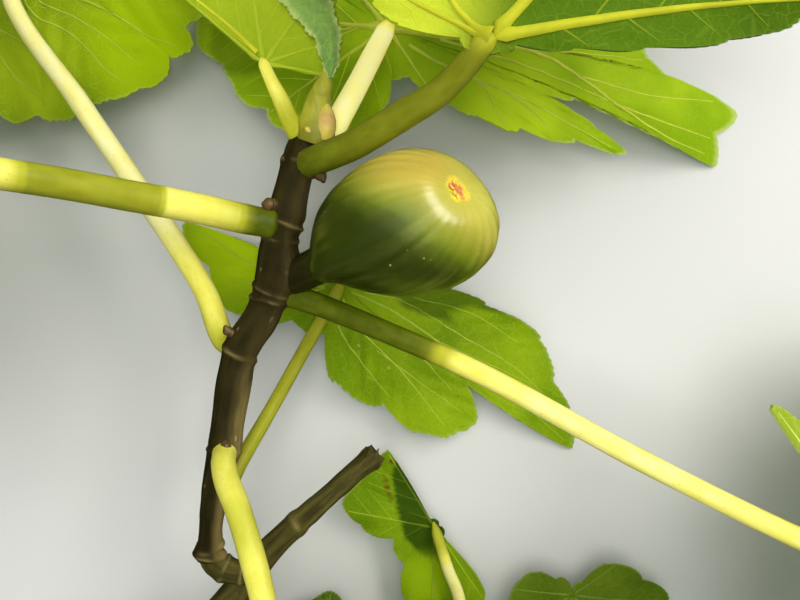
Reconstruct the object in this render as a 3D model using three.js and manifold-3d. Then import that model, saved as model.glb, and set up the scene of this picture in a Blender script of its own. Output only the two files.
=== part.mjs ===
// A cut fig branch with a ripening fruit, lying on the plane z = 0.
// Millimetres, +Z up. The origin is under the middle of the whole branch.
import * as THREE from 'three';
import { mergeVertices } from 'three/addons/utils/BufferGeometryUtils.js';
import Module from 'manifold-3d';

const wasm = await Module();
wasm.setup();

// Driving dimensions
const middle = [-4.4, -22.9]; // plan position of the box's middle before it is centred
const gap = 0.3;                // clearance between a piece and what carries it
const leafThickness = 1.6;
const youngLeafThickness = 1.0;
const figRadius = 17.3;
const neckRadius = 3.3;
const figLength = 50;
const ringScarRise = 0.5;       // how far a ring scar stands out of the bark
const ringScarWidth = 0.12;     // as a part of the distance between two points of the limb
const bladeStep = 10;           // degrees between two spokes of a leaf blade
const bladeRings = [0.34, 0.7, 1];
const floorEase = 1.2;          // how gently a leaf bends where it meets the ground

const bark = { color: 0x3d3320, roughness: 0.8, metalness: 0 };
const oldBark = { color: 0x5a4a36, roughness: 0.9, metalness: 0 };
const stalkGreen = { color: 0xd8d858, roughness: 0.45, metalness: 0 };
const leafGreen = { color: 0x7ea51e, roughness: 0.6, metalness: 0 };
const youngGreen = { color: 0x6f8f3c, roughness: 0.7, metalness: 0 };
const figGreen = { color: 0x7c8428, roughness: 0.35, metalness: 0 };
const budTan = { color: 0xa98a4a, roughness: 0.6, metalness: 0 };

const branch = new THREE.Group();

// A closed body from rings of points that all have the same count, ended by two points
function closedSkin(rings, firstPoint, lastPoint) {
  const sides = rings[0].length;
  const positions = [];
  const index = [];
  for (const point of [...rings.flat(), firstPoint, lastPoint]) {
    positions.push(point.x, point.y, point.z);
  }
  for (let ring = 0; ring + 1 < rings.length; ring++) {
    for (let side = 0; side < sides; side++) {
      const here = ring * sides + side;
      const next = ring * sides + (side + 1) % sides;
      index.push(here, next, next + sides, here, next + sides, here + sides);
    }
  }
  const first = rings.length * sides;
  const lastRing = first - sides;
  for (let side = 0; side < sides; side++) {
    const next = (side + 1) % sides;
    index.push(first, next, side);
    index.push(first + 1, lastRing + side, lastRing + next);
  }
  const geometry = new THREE.BufferGeometry();
  geometry.setAttribute('position', new THREE.Float32BufferAttribute(positions, 3));
  if (signedVolume(positions, index) < 0) {
    index.reverse();
  }
  geometry.setIndex(index);
  return geometry;
}

function signedVolume(positions, index) {
  const corner = [new THREE.Vector3(), new THREE.Vector3(), new THREE.Vector3()];
  let volume = 0;
  for (let i = 0; i < index.length; i += 3) {
    corner.forEach((vector, k) => vector.fromArray(positions, 3 * index[i + k]));
    volume += corner[0].dot(corner[1].cross(corner[2])) / 6;
  }
  return volume;
}

// A limb through the given points, each [x, y, z, radius], with ring scars where it swells
function limb(points, sides, stepsPerSpan, swell = 0, scars = []) {
  const places = points.map(([x, y, z]) => new THREE.Vector3(x - middle[0], y - middle[1], z));
  const curve = new THREE.CatmullRomCurve3(places, false, 'centripetal');
  const steps = (points.length - 1) * stepsPerSpan;
  const across = new THREE.Vector3(0.31, 0.17, 0.93);
  const rings = [];
  for (let step = 0; step <= steps; step++) {
    const along = step / steps;
    const span = Math.min(along * (points.length - 1), points.length - 1 - 1e-9);
    const from = Math.floor(span);
    let radius = THREE.MathUtils.lerp(points[from][3], points[from + 1][3], span - from) + swell;
    for (const scar of scars) {
      radius += ringScarRise * Math.exp(-(((span - scar) / ringScarWidth) ** 2));
    }
    const centre = curve.getPoint(along);
    const tangent = curve.getTangent(along);
    across.addScaledVector(tangent, -across.dot(tangent)).normalize();
    const up = tangent.clone().cross(across);
    const ring = [];
    for (let side = 0; side < sides; side++) {
      const turn = 2 * Math.PI * side / sides;
      ring.push(centre.clone()
        .addScaledVector(across, radius * Math.cos(turn))
        .addScaledVector(up, radius * Math.sin(turn)));
    }
    rings.push(ring);
  }
  return closedSkin(rings, curve.getPoint(0), curve.getPoint(1));
}

// How far the edge of a leaf lies from its junction: round at the lobes, sharp at the notches
function reachBetween([, from], [, to], part) {
  if (to > from) {
    return from + (to - from) * Math.sin(part * Math.PI / 2);
  }
  return to + (from - to) * Math.cos(part * Math.PI / 2);
}

function edgeSpokes(edge) {
  const spokes = [];
  edge.forEach((corner, i) => {
    const next = i + 1 < edge.length ? edge[i + 1] : [edge[0][0] + 360, edge[0][1]];
    const steps = Math.max(1, Math.round((next[0] - corner[0]) / bladeStep));
    for (let step = 0; step < steps; step++) {
      const part = step / steps;
      spokes.push([corner[0] + (next[0] - corner[0]) * part, reachBetween(corner, next, part)]);
    }
  });
  return spokes;
}

// A point of a leaf's middle surface, from its direction in plan and its distance to the junction
function bladePoint(leaf, direction, distance, lowest) {
  const turn = THREE.MathUtils.degToRad(direction - leaf.midrib);
  const ahead = distance * Math.cos(turn);
  const beside = distance * Math.sin(turn);
  const fold = THREE.MathUtils.degToRad(beside > 0 ? leaf.fold[0] : leaf.fold[1]);
  const aside = beside * Math.cos(fold);
  const midrib = THREE.MathUtils.degToRad(leaf.midrib);
  let height = leaf.at[2] + leaf.rise * ahead + leaf.tilt * aside + Math.abs(beside) * Math.sin(fold);
  height -= leaf.droop * (distance / 100) ** 2;
  height = lowest + floorEase * Math.log1p(Math.exp((height - lowest) / floorEase));
  return new THREE.Vector3(
    leaf.at[0] - middle[0] + ahead * Math.cos(midrib) - aside * Math.sin(midrib),
    leaf.at[1] - middle[1] + ahead * Math.sin(midrib) + aside * Math.cos(midrib),
    height,
  );
}

function bladeNormal(leaf, direction, distance, lowest) {
  const step = 0.5;
  const turn = THREE.MathUtils.radToDeg(step / Math.max(distance, step));
  const outward = bladePoint(leaf, direction, distance + step, lowest)
    .sub(bladePoint(leaf, direction, Math.max(distance - step, 0), lowest));
  const around = bladePoint(leaf, direction + turn, distance, lowest)
    .sub(bladePoint(leaf, direction - turn, distance, lowest));
  return outward.cross(around).normalize();
}

function blade(leaf, swell = 0) {
  const half = leaf.thickness / 2;
  const spokes = edgeSpokes(leaf.edge);
  const sheet = (side, part) => spokes.map(([direction, reach]) => {
    const distance = (reach + swell) * part;
    const normal = bladeNormal(leaf, direction, distance, half);
    return bladePoint(leaf, direction, distance, half).addScaledVector(normal, side * (half + swell));
  });
  const under = bladeRings.map((part) => sheet(-1, part));
  const over = bladeRings.map((part) => sheet(1, part)).reverse();
  const centre = bladePoint(leaf, leaf.midrib, 0, half);
  const normal = bladeNormal(leaf, leaf.midrib, 0.5, half);
  return closedSkin(
    [...under, ...over],
    centre.clone().addScaledVector(normal, -half - swell),
    centre.clone().addScaledVector(normal, half + swell),
  );
}

function solidOf(geometry) {
  const merged = mergeVertices(geometry, 1e-5);
  return new wasm.Manifold(new wasm.Mesh({
    numProp: 3,
    vertProperties: new Float32Array(merged.attributes.position.array),
    triVerts: new Uint32Array(merged.index.array),
  }));
}

// The geometry with its neighbours cut away; only the largest piece left over is kept
function seated(geometry, neighbours) {
  let solid = solidOf(geometry);
  for (const neighbour of neighbours) {
    solid = solid.subtract(solidOf(neighbour));
  }
  const pieces = solid.decompose().sort((a, b) => b.volume() - a.volume());
  const mesh = pieces[0].getMesh();
  const cut = new THREE.BufferGeometry();
  cut.setAttribute('position', new THREE.Float32BufferAttribute(mesh.vertProperties, 3));
  cut.setIndex([...mesh.triVerts]);
  return cut;
}

function add(name, geometry, finish) {
  const mesh = new THREE.Mesh(geometry, new THREE.MeshStandardMaterial(finish));
  mesh.name = name;
  branch.add(mesh);
}

// Woody limbs: points along the middle, each [x, y, z, radius]
const oldLimbLine = [
  [-104, -149, 5.3, 5.2], [-88, -131.5, 14, 5.0], [-66.7, -107.6, 28, 4.6],
  [-48.9, -86.4, 37, 4.4], [-37, -71, 40, 4.1], [-18.4, -53.8, 41, 3.2], [-4.9, -41.7, 41, 3.4],
];
const spurLine = [[-40.5, -76.5, 41, 3.3], [-46.5, -75.4, 42.3, 3.4], [-52.4, -72, 44, 3.6]];
const shootLine = [
  [-52.8, -71.3, 44.2, 3.6], [-52.6, -66.5, 45, 3.3], [-52.1, -60.7, 46, 3.1],
  [-50.2, -49.4, 47, 3.7], [-48, -40.9, 48, 4.2], [-45.8, -27.1, 49, 4.6],
  [-42.6, -13.8, 50, 4.6], [-36.5, -3, 51, 4.7], [-33.9, 4.3, 52, 5.0],
  [-32.3, 14.8, 53, 4.6], [-29.3, 25.3, 54, 4.6], [-26.7, 35.9, 55, 4.4], [-24.5, 41.7, 56, 4.0],
];
const shootScars = [0, 4.3, 7.4, 9.9];
const lowShootLine = [
  [-74, -116, 23, 2.8], [-62, -124, 17, 2.8], [-40, -135, 10, 2.7],
  [-12, -142, 7, 2.6], [18, -147, 6.5, 2.5], [40, -149, 6.5, 2.2],
];
const limbSides = 14;
const thinSides = 10;
const limbSteps = 3;            // rings between two points of a limb

const oldLimb = limb(oldLimbLine, limbSides, limbSteps);
const oldLimbClear = limb(oldLimbLine, limbSides, limbSteps, gap);
const shoot = limb(shootLine, limbSides, limbSteps, 0, shootScars);
const shootClear = limb(shootLine, limbSides, limbSteps, gap, shootScars);
const spur = seated(limb(spurLine, limbSides, limbSteps), [oldLimbClear, shootClear]);
const lowShoot = seated(limb(lowShootLine, thinSides, limbSteps), [oldLimbClear]);
const lowShootClear = limb(lowShootLine, thinSides, limbSteps, gap);

// The torn end of the old limb: wedges broken out of its rim, each [x, y, turn] from its middle
const wedges = [[2.6, 1.4, 35], [-2.4, 1.8, 150], [0.2, -2.9, 260]];
const wedgeRadius = 5.5;
const wedgeLength = 16;
const wedgeDepth = 6;
const tornEndTurn = -48;        // the limb's end points this many degrees away from +Y

function tornLimb() {
  const [endX, endY, endZ] = oldLimbLine.at(-1);
  const cuts = wedges.map(([x, y, turn]) => {
    const wedge = new THREE.ConeGeometry(wedgeRadius, wedgeLength, 6);
    wedge.deleteAttribute('normal');
    wedge.deleteAttribute('uv');
    wedge.rotateX(Math.PI);
    wedge.rotateY(THREE.MathUtils.degToRad(turn));
    wedge.translate(x, wedgeLength / 2 - wedgeDepth, y);
    wedge.rotateZ(THREE.MathUtils.degToRad(tornEndTurn));
    wedge.translate(endX - middle[0], endY - middle[1], endZ);
    return wedge;
  });
  return seated(oldLimb, cuts);
}

add('old_limb', tornLimb(), oldBark);
add('spur', spur, oldBark);
add('shoot', shoot, bark);
add('low_shoot', lowShoot, bark);

// Leaves: where the blade joins its stalk, how it hangs, its edge as [direction, reach] and its stalk
const fullLeafEdge = (length, midrib) => [
  [-178, 0.05], [-152, 0.2], [-128, 0.34], [-102, 0.5], [-76, 0.38], [-48, 0.86], [-25, 0.5],
  [0, 1], [25, 0.5], [48, 0.86], [76, 0.38], [102, 0.5], [128, 0.34], [152, 0.2],
].map(([turn, part]) => [midrib + turn, part * length]);

const leaves = [
  {
    at: [-117, 109.2, 28], midrib: -140, rise: -0.15, tilt: 0.02, droop: 14, fold: [0, 0],
    edge: [
      [-140, 108], [-128, 62], [-116, 52.5], [-105, 50], [-96, 53], [-86, 51], [-76, 54.5],
      [-65, 53], [-50, 57], [-42, 60.5], [-37, 57.5], [-32, 63], [-27, 60], [-20, 62], [10, 60],
      [30, 36], [60, 14], [90, 34], [125, 58], [152, 42], [178, 88], [198, 58],
    ],
    stalk: [
      [-44, -13, 49.5, 3.2], [-48.5, -10.5, 46.5, 3.4], [-54.6, 2.8, 44, 3.1], [-78.6, 36.8, 38, 3.1],
      [-93.6, 57.6, 35, 3.0], [-115.8, 89.5, 31.5, 2.4], [-117, 106.5, 30, 2.2],
    ],
  },
  {
    at: [-112, 27, 114], midrib: 184, rise: -0.34, tilt: 0.1, droop: 24, fold: [-6, -6],
    edge: fullLeafEdge(118, 184),
    stalk: [
      [-32, 19.6, 55.5, 3.6], [-39.2, 20.6, 59, 3.9], [-49.1, 22.3, 66, 3.8], [-59.3, 23.6, 74, 3.7],
      [-80.6, 25.5, 95, 3.3], [-109, 27, 114.5, 2.7],
    ],
  },
  {
    at: [17.5, 50.3, 101], midrib: 52, rise: 0.12, tilt: 0.05, droop: 26, fold: [0, 0],
    edge: [
      [-60, 3], [-14, 8], [-2, 30], [2, 48], [7, 66], [14, 98], [24, 84], [33, 56],
      [52, 118], [70, 60], [96, 90], [118, 52], [146, 48], [158, 24], [170, 18], [177, 6], [220, 3],
    ],
    stalk: [
      [-24.5, 35.6, 56, 3.4], [-21.2, 35.7, 60, 3.8], [-11, 37.8, 68, 3.7], [0.9, 42.2, 78, 3.5],
      [8.2, 44.5, 86, 3.0], [13.3, 47.5, 94, 2.6], [16.3, 49.6, 101, 2.4],
    ],
  },
  {
    at: [-3.6, 81.2, 30], midrib: -17, rise: 0.08, tilt: -0.03, droop: 30, fold: [0, 0],
    edge: [
      [-158, 50], [-150, 44], [-145, 45], [-130, 38], [-91, 22], [-86, 14.5], [-67, 16],
      [-53, 24], [-44, 36], [-35, 50], [-28, 66], [-20.6, 86], [-18.8, 55], [-17.6, 118], [-12.4, 114],
      [-8, 121], [-4.4, 103], [-1.6, 84], [1, 80], [8, 92], [24, 62], [44, 92], [62, 50],
      [92, 76], [120, 44],
      [152, 62], [176, 63], [187, 53], [195, 51],
    ],
    stalk: [
      [-21, 40, 54.5, 2.8], [-18.4, 43.5, 54, 3.1], [-15.4, 50.7, 50, 3.2], [-11.9, 59.3, 45, 3.1],
      [-7.8, 70.5, 38, 3.0], [-4.4, 79.4, 32.6, 2.8],
    ],
  },
  {
    at: [-34.2, 59.5, 62], midrib: 140, rise: 0.05, tilt: -0.12, droop: 10, fold: [-128, 0], young: true,
    edge: [
      [-60, 1.5], [-14, 2], [-11.5, 17], [2, 19], [21, 20.5], [36, 22], [60, 30], [90, 36],
      [118, 48], [140, 58], [160, 38], [186, 24], [215, 18], [250, 5],
    ],
    stalk: [
      [-25.5, 41.5, 57, 2.3], [-28.1, 45.8, 58, 2.5], [-30.2, 50.7, 59.3, 2.2], [-32.4, 55.2, 61, 1.7],
      [-33.9, 58.6, 62.6, 1.5],
    ],
  },
  {
    at: [108, -61, 80], midrib: -16, rise: -0.35, tilt: 0, droop: 34, fold: [-4, -4],
    edge: [
      [-190, 8], [-166, 20], [-134, 34], [-106, 50], [-92, 40], [-62, 92], [-40, 58],
      [-16, 118], [8, 58], [30, 94], [60, 42], [92, 50], [108, 34], [118, 36], [125.8, 46], [129, 15],
    ],
    stalk: [
      [-30.5, 1.8, 51, 3.0], [-26.5, 0.4, 52, 3.2], [-21.7, -1.2, 53, 3.1], [-8.1, -6.5, 56, 2.9],
      [20.1, -18.5, 62, 2.7], [57.5, -38.3, 70, 2.6], [90.9, -54.3, 78, 2.5], [105.6, -60.3, 81, 2.3],
    ],
  },
  {
    at: [-24, -104, 78], midrib: -76, rise: -0.3, tilt: 0, droop: 42, fold: [-5, -5],
    edge: fullLeafEdge(104, -76),
    stalk: [
      [-47, -40.5, 50.5, 2.8], [-46, -42.4, 56, 3.2], [-43.8, -46, 60.8, 3.2], [-40.1, -51, 65.5, 3.2],
      [-35.2, -62.2, 70, 3.1], [-31.4, -72, 74.4, 2.9], [-24.8, -101, 79.8, 2.4],
    ],
  },
  {
    at: [-19.5, 4.2, 11.5], midrib: -35, rise: 0.02, tilt: -0.02, droop: 16, fold: [0, 0],
    edge: [
      [-202, 57], [-189, 45], [-178, 42], [-164, 34], [-146, 19], [-129, 19], [-108, 16],
      [-92, 31], [-70, 41], [-62, 54], [-46, 64], [-38, 53], [-35, 96], [-24, 79], [-15, 69],
      [-7, 48], [-1, 37], [30, 42], [70, 37], [105, 20], [140, 8], [154, 27],
    ],
    stalk: [
      [-51.5, -57, 44.5, 1.9], [-48.6, -53, 42.6, 2.3], [-45.6, -46.4, 39, 2.2], [-39, -33.3, 30, 2.1],
      [-28.5, -12.7, 19.5, 2.1], [-20.3, 2.8, 14.2, 2.0],
    ],
  },
  {
    at: [11.3, -74.3, 12.5], midrib: 150, rise: -0.02, tilt: -0.05, droop: 12, fold: [0, 0],
    edge: [
      [-238.5, 29.5], [-210, 28.5], [-194, 31], [-181, 24], [-163, 14], [-128, 16], [-107, 27],
      [-90, 40], [-72, 36], [-54, 28], [-49, 21], [-46, 4], [20, 1.5], [118, 3],
    ],
    stalk: [
      [13.5, -145.5, 7.5, 1.7], [17, -128, 12, 1.9], [19.4, -98, 15.6, 2.0], [15.2, -85.9, 15.8, 1.9],
      [11.9, -75.6, 15, 1.7],
    ],
  },
  {
    at: [55.6, -95.1, 15], midrib: -84, rise: -0.1, tilt: 0, droop: 30, fold: [8, 8], young: true,
    edge: [
      [-198, 18], [-176, 21], [-150, 26], [-128, 24], [-110, 40], [-98, 30], [-84, 52], [-66, 30],
      [-52, 42], [-36, 26], [-2, 31], [14, 23], [44, 15], [57, 5], [95, 1.5], [136, 8], [146, 14],
    ],
    stalk: [
      [37, -148.5, 7, 1.4], [42, -136, 9, 1.6], [52, -112, 11.4, 1.5], [55, -97.5, 12.4, 1.3],
    ],
  },
  {
    at: [-26.7, -115, 12], midrib: 78, rise: -0.05, tilt: 0.05, droop: 40, fold: [6, 6], young: true,
    edge: [
      [-86, 3], [-60, 14], [-30, 17], [-14, 12], [20, 20], [52, 15], [78, 19], [106, 15],
      [140, 19], [170, 12], [196, 16], [232, 14],
    ],
    stalk: [[-34, -138, 9.5, 1.2], [-31, -129, 11, 1.3], [-27.4, -117, 10.4, 1.1]],
  },
];

// The fruit: points along its middle and how its radius changes from the neck to the eye
const figLine = [[-30.5, 6.6, 52], [-18.6, 13.4, 58.4], [6, 20.2, 70.4], [15.6, 25.2, 82.8]];
const figSides = 26;
const figSteps = 20;
const figProfile = [
  [0, neckRadius], [0.08, 3.9], [0.16, 7.0], [0.24, 10.2], [0.34, 13.4], [0.46, 16.0],
  [0.6, figRadius], [0.72, 17.1], [0.84, 14.9], [0.92, 11.2], [0.97, 6.8], [0.995, 2.2],
];

function fruit() {
  const places = figLine.map(([x, y, z]) => new THREE.Vector3(x - middle[0], y - middle[1], z));
  const curve = new THREE.CatmullRomCurve3(places, false, 'centripetal');
  const outline = figProfile.map(([part, radius]) => new THREE.Vector3(part * figLength, radius, 0));
  const profile = new THREE.CatmullRomCurve3(outline);
  const across = new THREE.Vector3(0.2, -0.9, 0.3);
  const rings = [];
  for (let step = 0; step <= figSteps; step++) {
    const sample = profile.getPointAt(step / figSteps);
    const along = THREE.MathUtils.clamp(sample.x / figLength, 0, 1);
    const centre = curve.getPointAt(along);
    const tangent = curve.getTangentAt(along);
    across.addScaledVector(tangent, -across.dot(tangent)).normalize();
    const up = tangent.clone().cross(across);
    const ring = [];
    for (let side = 0; side < figSides; side++) {
      const turn = 2 * Math.PI * side / figSides;
      ring.push(centre.clone()
        .addScaledVector(across, sample.y * Math.cos(turn))
        .addScaledVector(up, sample.y * Math.sin(turn)));
    }
    rings.push(ring);
  }
  return closedSkin(rings, curve.getPointAt(0), curve.getPointAt(1));
}

const stalkSteps = 2;
const stalksClear = [];
const bladesClear = [];
leaves.forEach((leaf, i) => {
  leaf.thickness = leaf.young ? youngLeafThickness : leafThickness;
  const stalk = limb(leaf.stalk, thinSides, stalkSteps);
  const bladeClear = blade(leaf, gap);
  const carriers = [shootClear, lowShootClear, bladeClear];
  add(`leaf_stalk_${i + 1}`, seated(stalk, carriers), stalkGreen);
  add(`leaf_${i + 1}`, blade(leaf), leaf.young ? youngGreen : leafGreen);
  stalksClear.push(limb(leaf.stalk, thinSides, stalkSteps, gap));
  bladesClear.push(bladeClear);
});

add('fig', seated(fruit(), [shootClear, ...stalksClear]), figGreen);

// Buds: each a short tapering cone from the shoot, as [x, y, z, radius] points
const buds = {
  end_bud: [[-23.4, 41, 57, 4.3], [-22.2, 45.6, 58.4, 4.0], [-20.4, 52, 60, 2.4], [-18.6, 59, 62, 0.5]],
  bud_1: [[-31, 24.5, 56, 1.8], [-34, 24.5, 58.2, 1.8], [-35.2, 24.6, 59.4, 0.9]],
  bud_2: [[-43.5, -9.6, 52, 1.4], [-45.6, -8, 53.6, 1.3], [-46, -6.8, 54.6, 0.5]],
  bud_3: [[-46.8, -38.8, 51, 1.5], [-45.9, -38.6, 53.6, 1.4], [-45.6, -38.2, 54.8, 0.6]],
  bract: [[-24.5, 33, 56, 1.2], [-20.4, 32.2, 59, 1.5], [-19.4, 30, 60.2, 0.7]],
  low_end_bud: [[38.8, -149, 6.5, 2.1], [43, -149.6, 7, 1.7], [49, -150.6, 8, 0.4]],
};
for (const [name, line] of Object.entries(buds)) {
  const neighbours = [shootClear, lowShootClear, ...stalksClear, ...bladesClear];
  add(name, seated(limb(line, thinSides, limbSteps), neighbours), budTan);
}

export default branch;
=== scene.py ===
import math
import bpy
import numpy as np
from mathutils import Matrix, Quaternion, Vector


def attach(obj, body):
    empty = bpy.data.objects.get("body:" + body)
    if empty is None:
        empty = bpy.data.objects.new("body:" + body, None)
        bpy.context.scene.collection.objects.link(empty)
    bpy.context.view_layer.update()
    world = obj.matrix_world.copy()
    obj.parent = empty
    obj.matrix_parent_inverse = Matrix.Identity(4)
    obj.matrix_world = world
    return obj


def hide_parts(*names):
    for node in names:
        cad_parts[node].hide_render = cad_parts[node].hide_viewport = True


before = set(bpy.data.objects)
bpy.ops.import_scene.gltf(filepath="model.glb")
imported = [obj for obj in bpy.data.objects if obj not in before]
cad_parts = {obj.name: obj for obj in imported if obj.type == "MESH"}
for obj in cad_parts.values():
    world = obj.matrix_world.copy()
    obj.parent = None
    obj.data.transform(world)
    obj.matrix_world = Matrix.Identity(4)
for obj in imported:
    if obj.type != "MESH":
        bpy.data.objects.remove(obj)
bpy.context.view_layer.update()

mm = 0.001
middle = np.array([-4.4, -22.9])    # plan position of the box's middle, as in the solids
floorEase = 1.2                     # how gently a leaf bends where it meets the ground
mapScale = 10 * mm                  # a leaf's map has 100 mm as 1


# Shader maths: a wire is a socket that can be added, multiplied and so on
class Wire:
    def __init__(self, finish, socket):
        self.finish = finish
        self.socket = socket

    def sum(self, operation, *values):
        return self.finish.node('Math', {'operation': operation}, dict(enumerate(values)))

    def __add__(self, other):
        return self.sum('ADD', self, other)

    def __sub__(self, other):
        return self.sum('SUBTRACT', self, other)

    def __rsub__(self, other):
        return self.sum('SUBTRACT', other, self)

    def __mul__(self, other):
        return self.sum('MULTIPLY', self, other)

    __radd__ = __add__
    __rmul__ = __mul__

    def between(self, low, high, start=0.0, end=1.0):
        ends = {0: self, 1: low, 2: high, 3: start, 4: end}
        return self.finish.node('MapRange', {'interpolation_type': 'SMOOTHSTEP'}, ends)


# A material under construction
class Finish:
    def __init__(self, name, roughness, settings={}):
        self.material = bpy.data.materials.new(name)
        self.material.use_nodes = True
        self.tree = self.material.node_tree
        self.skin = self.tree.nodes['Principled BSDF']
        self.feed(self.skin.inputs['Roughness'], roughness)
        for socket, value in settings.items():
            self.skin.inputs[socket].default_value = value
        self.place = self.node('TexCoord', {}, {}, 'Object')

    def feed(self, socket, value):
        if isinstance(value, Wire):
            self.tree.links.new(value.socket, socket)
        else:
            socket.default_value = value

    def node(self, kind, settings, inputs, output=0):
        made = self.tree.nodes.new('ShaderNode' + kind)
        for key, value in settings.items():
            if key == 'stops':
                ramp = made.color_ramp
                while len(ramp.elements) < len(value):
                    ramp.elements.new(0.5)
                for stop, (at, colour) in zip(ramp.elements, value):
                    stop.position = at
                    stop.color = colour
            else:
                setattr(made, key, value)
        for key, value in inputs.items():
            self.feed(made.inputs[key], value)
        return Wire(self, made.outputs[output])

    def mix(self, factor, first, second):
        return self.node('Mix', {'data_type': 'RGBA'}, {0: factor, 6: first, 7: second}, 2)

    def cloud(self, size, detail=3.0, place=None, roughness=0.55):
        inputs = {'Vector': place or self.place, 'Scale': 1 / size, 'Detail': detail,
                  'Roughness': roughness}
        return self.node('TexNoise', {}, inputs, 'Fac')

    def cells(self, size, place=None, feature='DISTANCE_TO_EDGE', spread=1.0):
        inputs = {'Vector': place or self.place, 'Scale': 1 / size, 'Randomness': spread}
        return self.node('TexVoronoi', {'feature': feature}, inputs, 'Distance')

    def stretched(self, place, scale):
        return self.node('Mapping', {}, {'Vector': place, 'Scale': scale})

    def number(self, name):
        return self.node('Attribute', {'attribute_name': name}, {}, 'Fac')

    def uv(self, name):
        return self.node('UVMap', {'uv_map': name}, {})

    def near(self, point, radius, softness=0.5):
        # 1 within 'radius' mm of a point and 0 further off
        ends = {0: self.place, 1: [value * mm for value in point]}
        apart = self.node('VectorMath', {'operation': 'DISTANCE'}, ends, 'Value')
        return 1 - apart.between(radius * mm * (1 - softness), radius * mm * (1 + softness))

    def bump(self, height, distance, strength=1.0):
        inputs = {'Height': height, 'Distance': distance, 'Strength': strength}
        self.feed(self.skin.inputs['Normal'], self.node('Bump', {}, inputs))

    def paint(self, colour):
        self.feed(self.skin.inputs['Base Color'], colour)

    def letThrough(self, colour, share):
        glow = self.node('BsdfTranslucent', {}, {'Color': colour})
        out = self.tree.nodes['Material Output']
        skin = Wire(self, self.skin.outputs[0])
        mixed = self.node('MixShader', {}, {0: share, 1: skin, 2: glow})
        self.tree.links.new(mixed.socket, out.inputs['Surface'])


def rgb(red, green, blue):
    # a screen colour, 0 to 255, as the linear colour that sockets take
    linear = [(v / 255 / 12.92) if v < 10.3 else ((v / 255 + 0.055) / 1.055) ** 2.4
              for v in (red, green, blue)]
    return (*linear, 1.0)


# Shapes: lines, soft noise and the leaf surface are worked out in mm
def smoothLine(points, steps):
    # a smooth line through points with their radius, with the same number of steps between each two
    knots = np.array(points, float)
    knots[:, :2] -= middle
    count = len(knots)
    path = []
    for i in range(count - 1):
        b, c = knots[i], knots[i + 1]
        a = knots[i - 1] if i else 2 * b - c
        d = knots[i + 2] if i + 2 < count else 2 * c - b
        before, here, after = [max(np.linalg.norm((v - u)[:3]) ** 0.5, 1e-4)
                               for u, v in ((a, b), (b, c), (c, d))]
        first = ((b - a) / before - (c - a) / (before + here) + (c - b) / here) * here
        last = ((c - b) / here - (d - b) / (here + after) + (d - c) / after) * here
        for part in np.arange(steps) / steps:
            point = (b + first * part + (3 * (c - b) - 2 * first - last) * part ** 2
                     + (2 * (b - c) + first + last) * part ** 3)
            point[3] = b[3] + (c[3] - b[3]) * part
            path.append(point)
    path.append(knots[-1])
    return np.array(path)


def unit(vectors):
    return vectors / np.maximum(np.linalg.norm(vectors, axis=-1), 1e-9)[..., None]


def lengthsAlong(points):
    return np.append(0, np.cumsum(np.linalg.norm(np.diff(points, axis=0), axis=1)))


def softNoise(points, size, seed=0):
    # smooth noise from -1 to 1; three large primes tell the cells of its grid apart
    scaled = np.asarray(points, float) / size
    cell = np.floor(scaled).astype(np.int64)
    part = scaled - cell
    part = part * part * (3 - 2 * part)
    total = np.zeros(len(scaled))
    for corner in np.ndindex(2, 2, 2):
        key = cell + corner
        mixed = np.bitwise_xor.reduce(key * [73856093, 19349663, 83492791], axis=1) ^ (seed * 977)
        mixed = ((mixed & 0xffffff) * 1103515245 + 12345) & 0x7fffffff
        weight = np.prod(np.where(np.array(corner) == 1, part, 1 - part), axis=1)
        total += weight * (mixed / 0x3fffffff - 1)
    return total


def roundNoise(around, pitch, along, seed, order=(0, 1, 2)):
    # soft noise on a limb: pitch sets how fine it is round it
    spots = np.stack([np.cos(around) * pitch, np.sin(around) * pitch, along], 1)
    return softNoise(spots[:, order], 1.0, seed)


def ease(value, low, high):
    part = np.clip((np.asarray(value, float) - low) / (high - low), 0, 1)
    return part * part * (3 - 2 * part)


def within(points, polygon, soft):
    # 1 inside a plan polygon, 0 outside, with an edge 'soft' mm wide
    nearest = np.full(len(points), 1e9)
    inside = np.zeros(len(points), bool)
    x, y = points[:, 0], points[:, 1]
    for (x1, y1), (x2, y2) in zip(polygon, polygon[1:] + polygon[:1]):
        wide, high = x2 - x1, y2 - y1
        part = np.clip(((x - x1) * wide + (y - y1) * high) / (wide ** 2 + high ** 2), 0, 1)
        nearest = np.minimum(nearest, np.hypot(x - x1 - part * wide, y - y1 - part * high))
        crosses = (y1 > y) != (y2 > y)
        inside ^= crosses & (x < x1 + (y - y1) * wide / (high or 1e-9))
    return ease(np.where(inside, nearest, -nearest), -soft, soft)


def deselectAll():
    if bpy.context.object and bpy.context.object.mode != 'OBJECT':
        bpy.ops.object.mode_set(mode='OBJECT')
    bpy.ops.object.select_all(action='DESELECT')


def pick(piece):
    deselectAll()
    piece.select_set(True)
    bpy.context.view_layer.objects.active = piece


def applyModifier(piece, kind, **settings):
    pick(piece)
    modifier = piece.modifiers.new(kind, kind)
    for key, value in settings.items():
        setattr(modifier, key, value)
    bpy.ops.object.modifier_apply(modifier=modifier.name)


def meshPiece(name, points, faces, finishes):
    mesh = bpy.data.meshes.new(name)
    mesh.from_pydata((np.asarray(points) * mm).tolist(), [], faces)
    mesh.update()
    piece = bpy.data.objects.new(name, mesh)
    bpy.context.scene.collection.objects.link(piece)
    for finish in finishes:
        mesh.materials.append(finish.material)
    return piece


def places(piece):
    co = np.empty(len(piece.data.vertices) * 3)
    piece.data.vertices.foreach_get('co', co)
    return co.reshape(-1, 3) / mm


def putPlaces(piece, points):
    piece.data.vertices.foreach_set('co', (np.asarray(points) * mm).ravel())
    piece.data.update()


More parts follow.
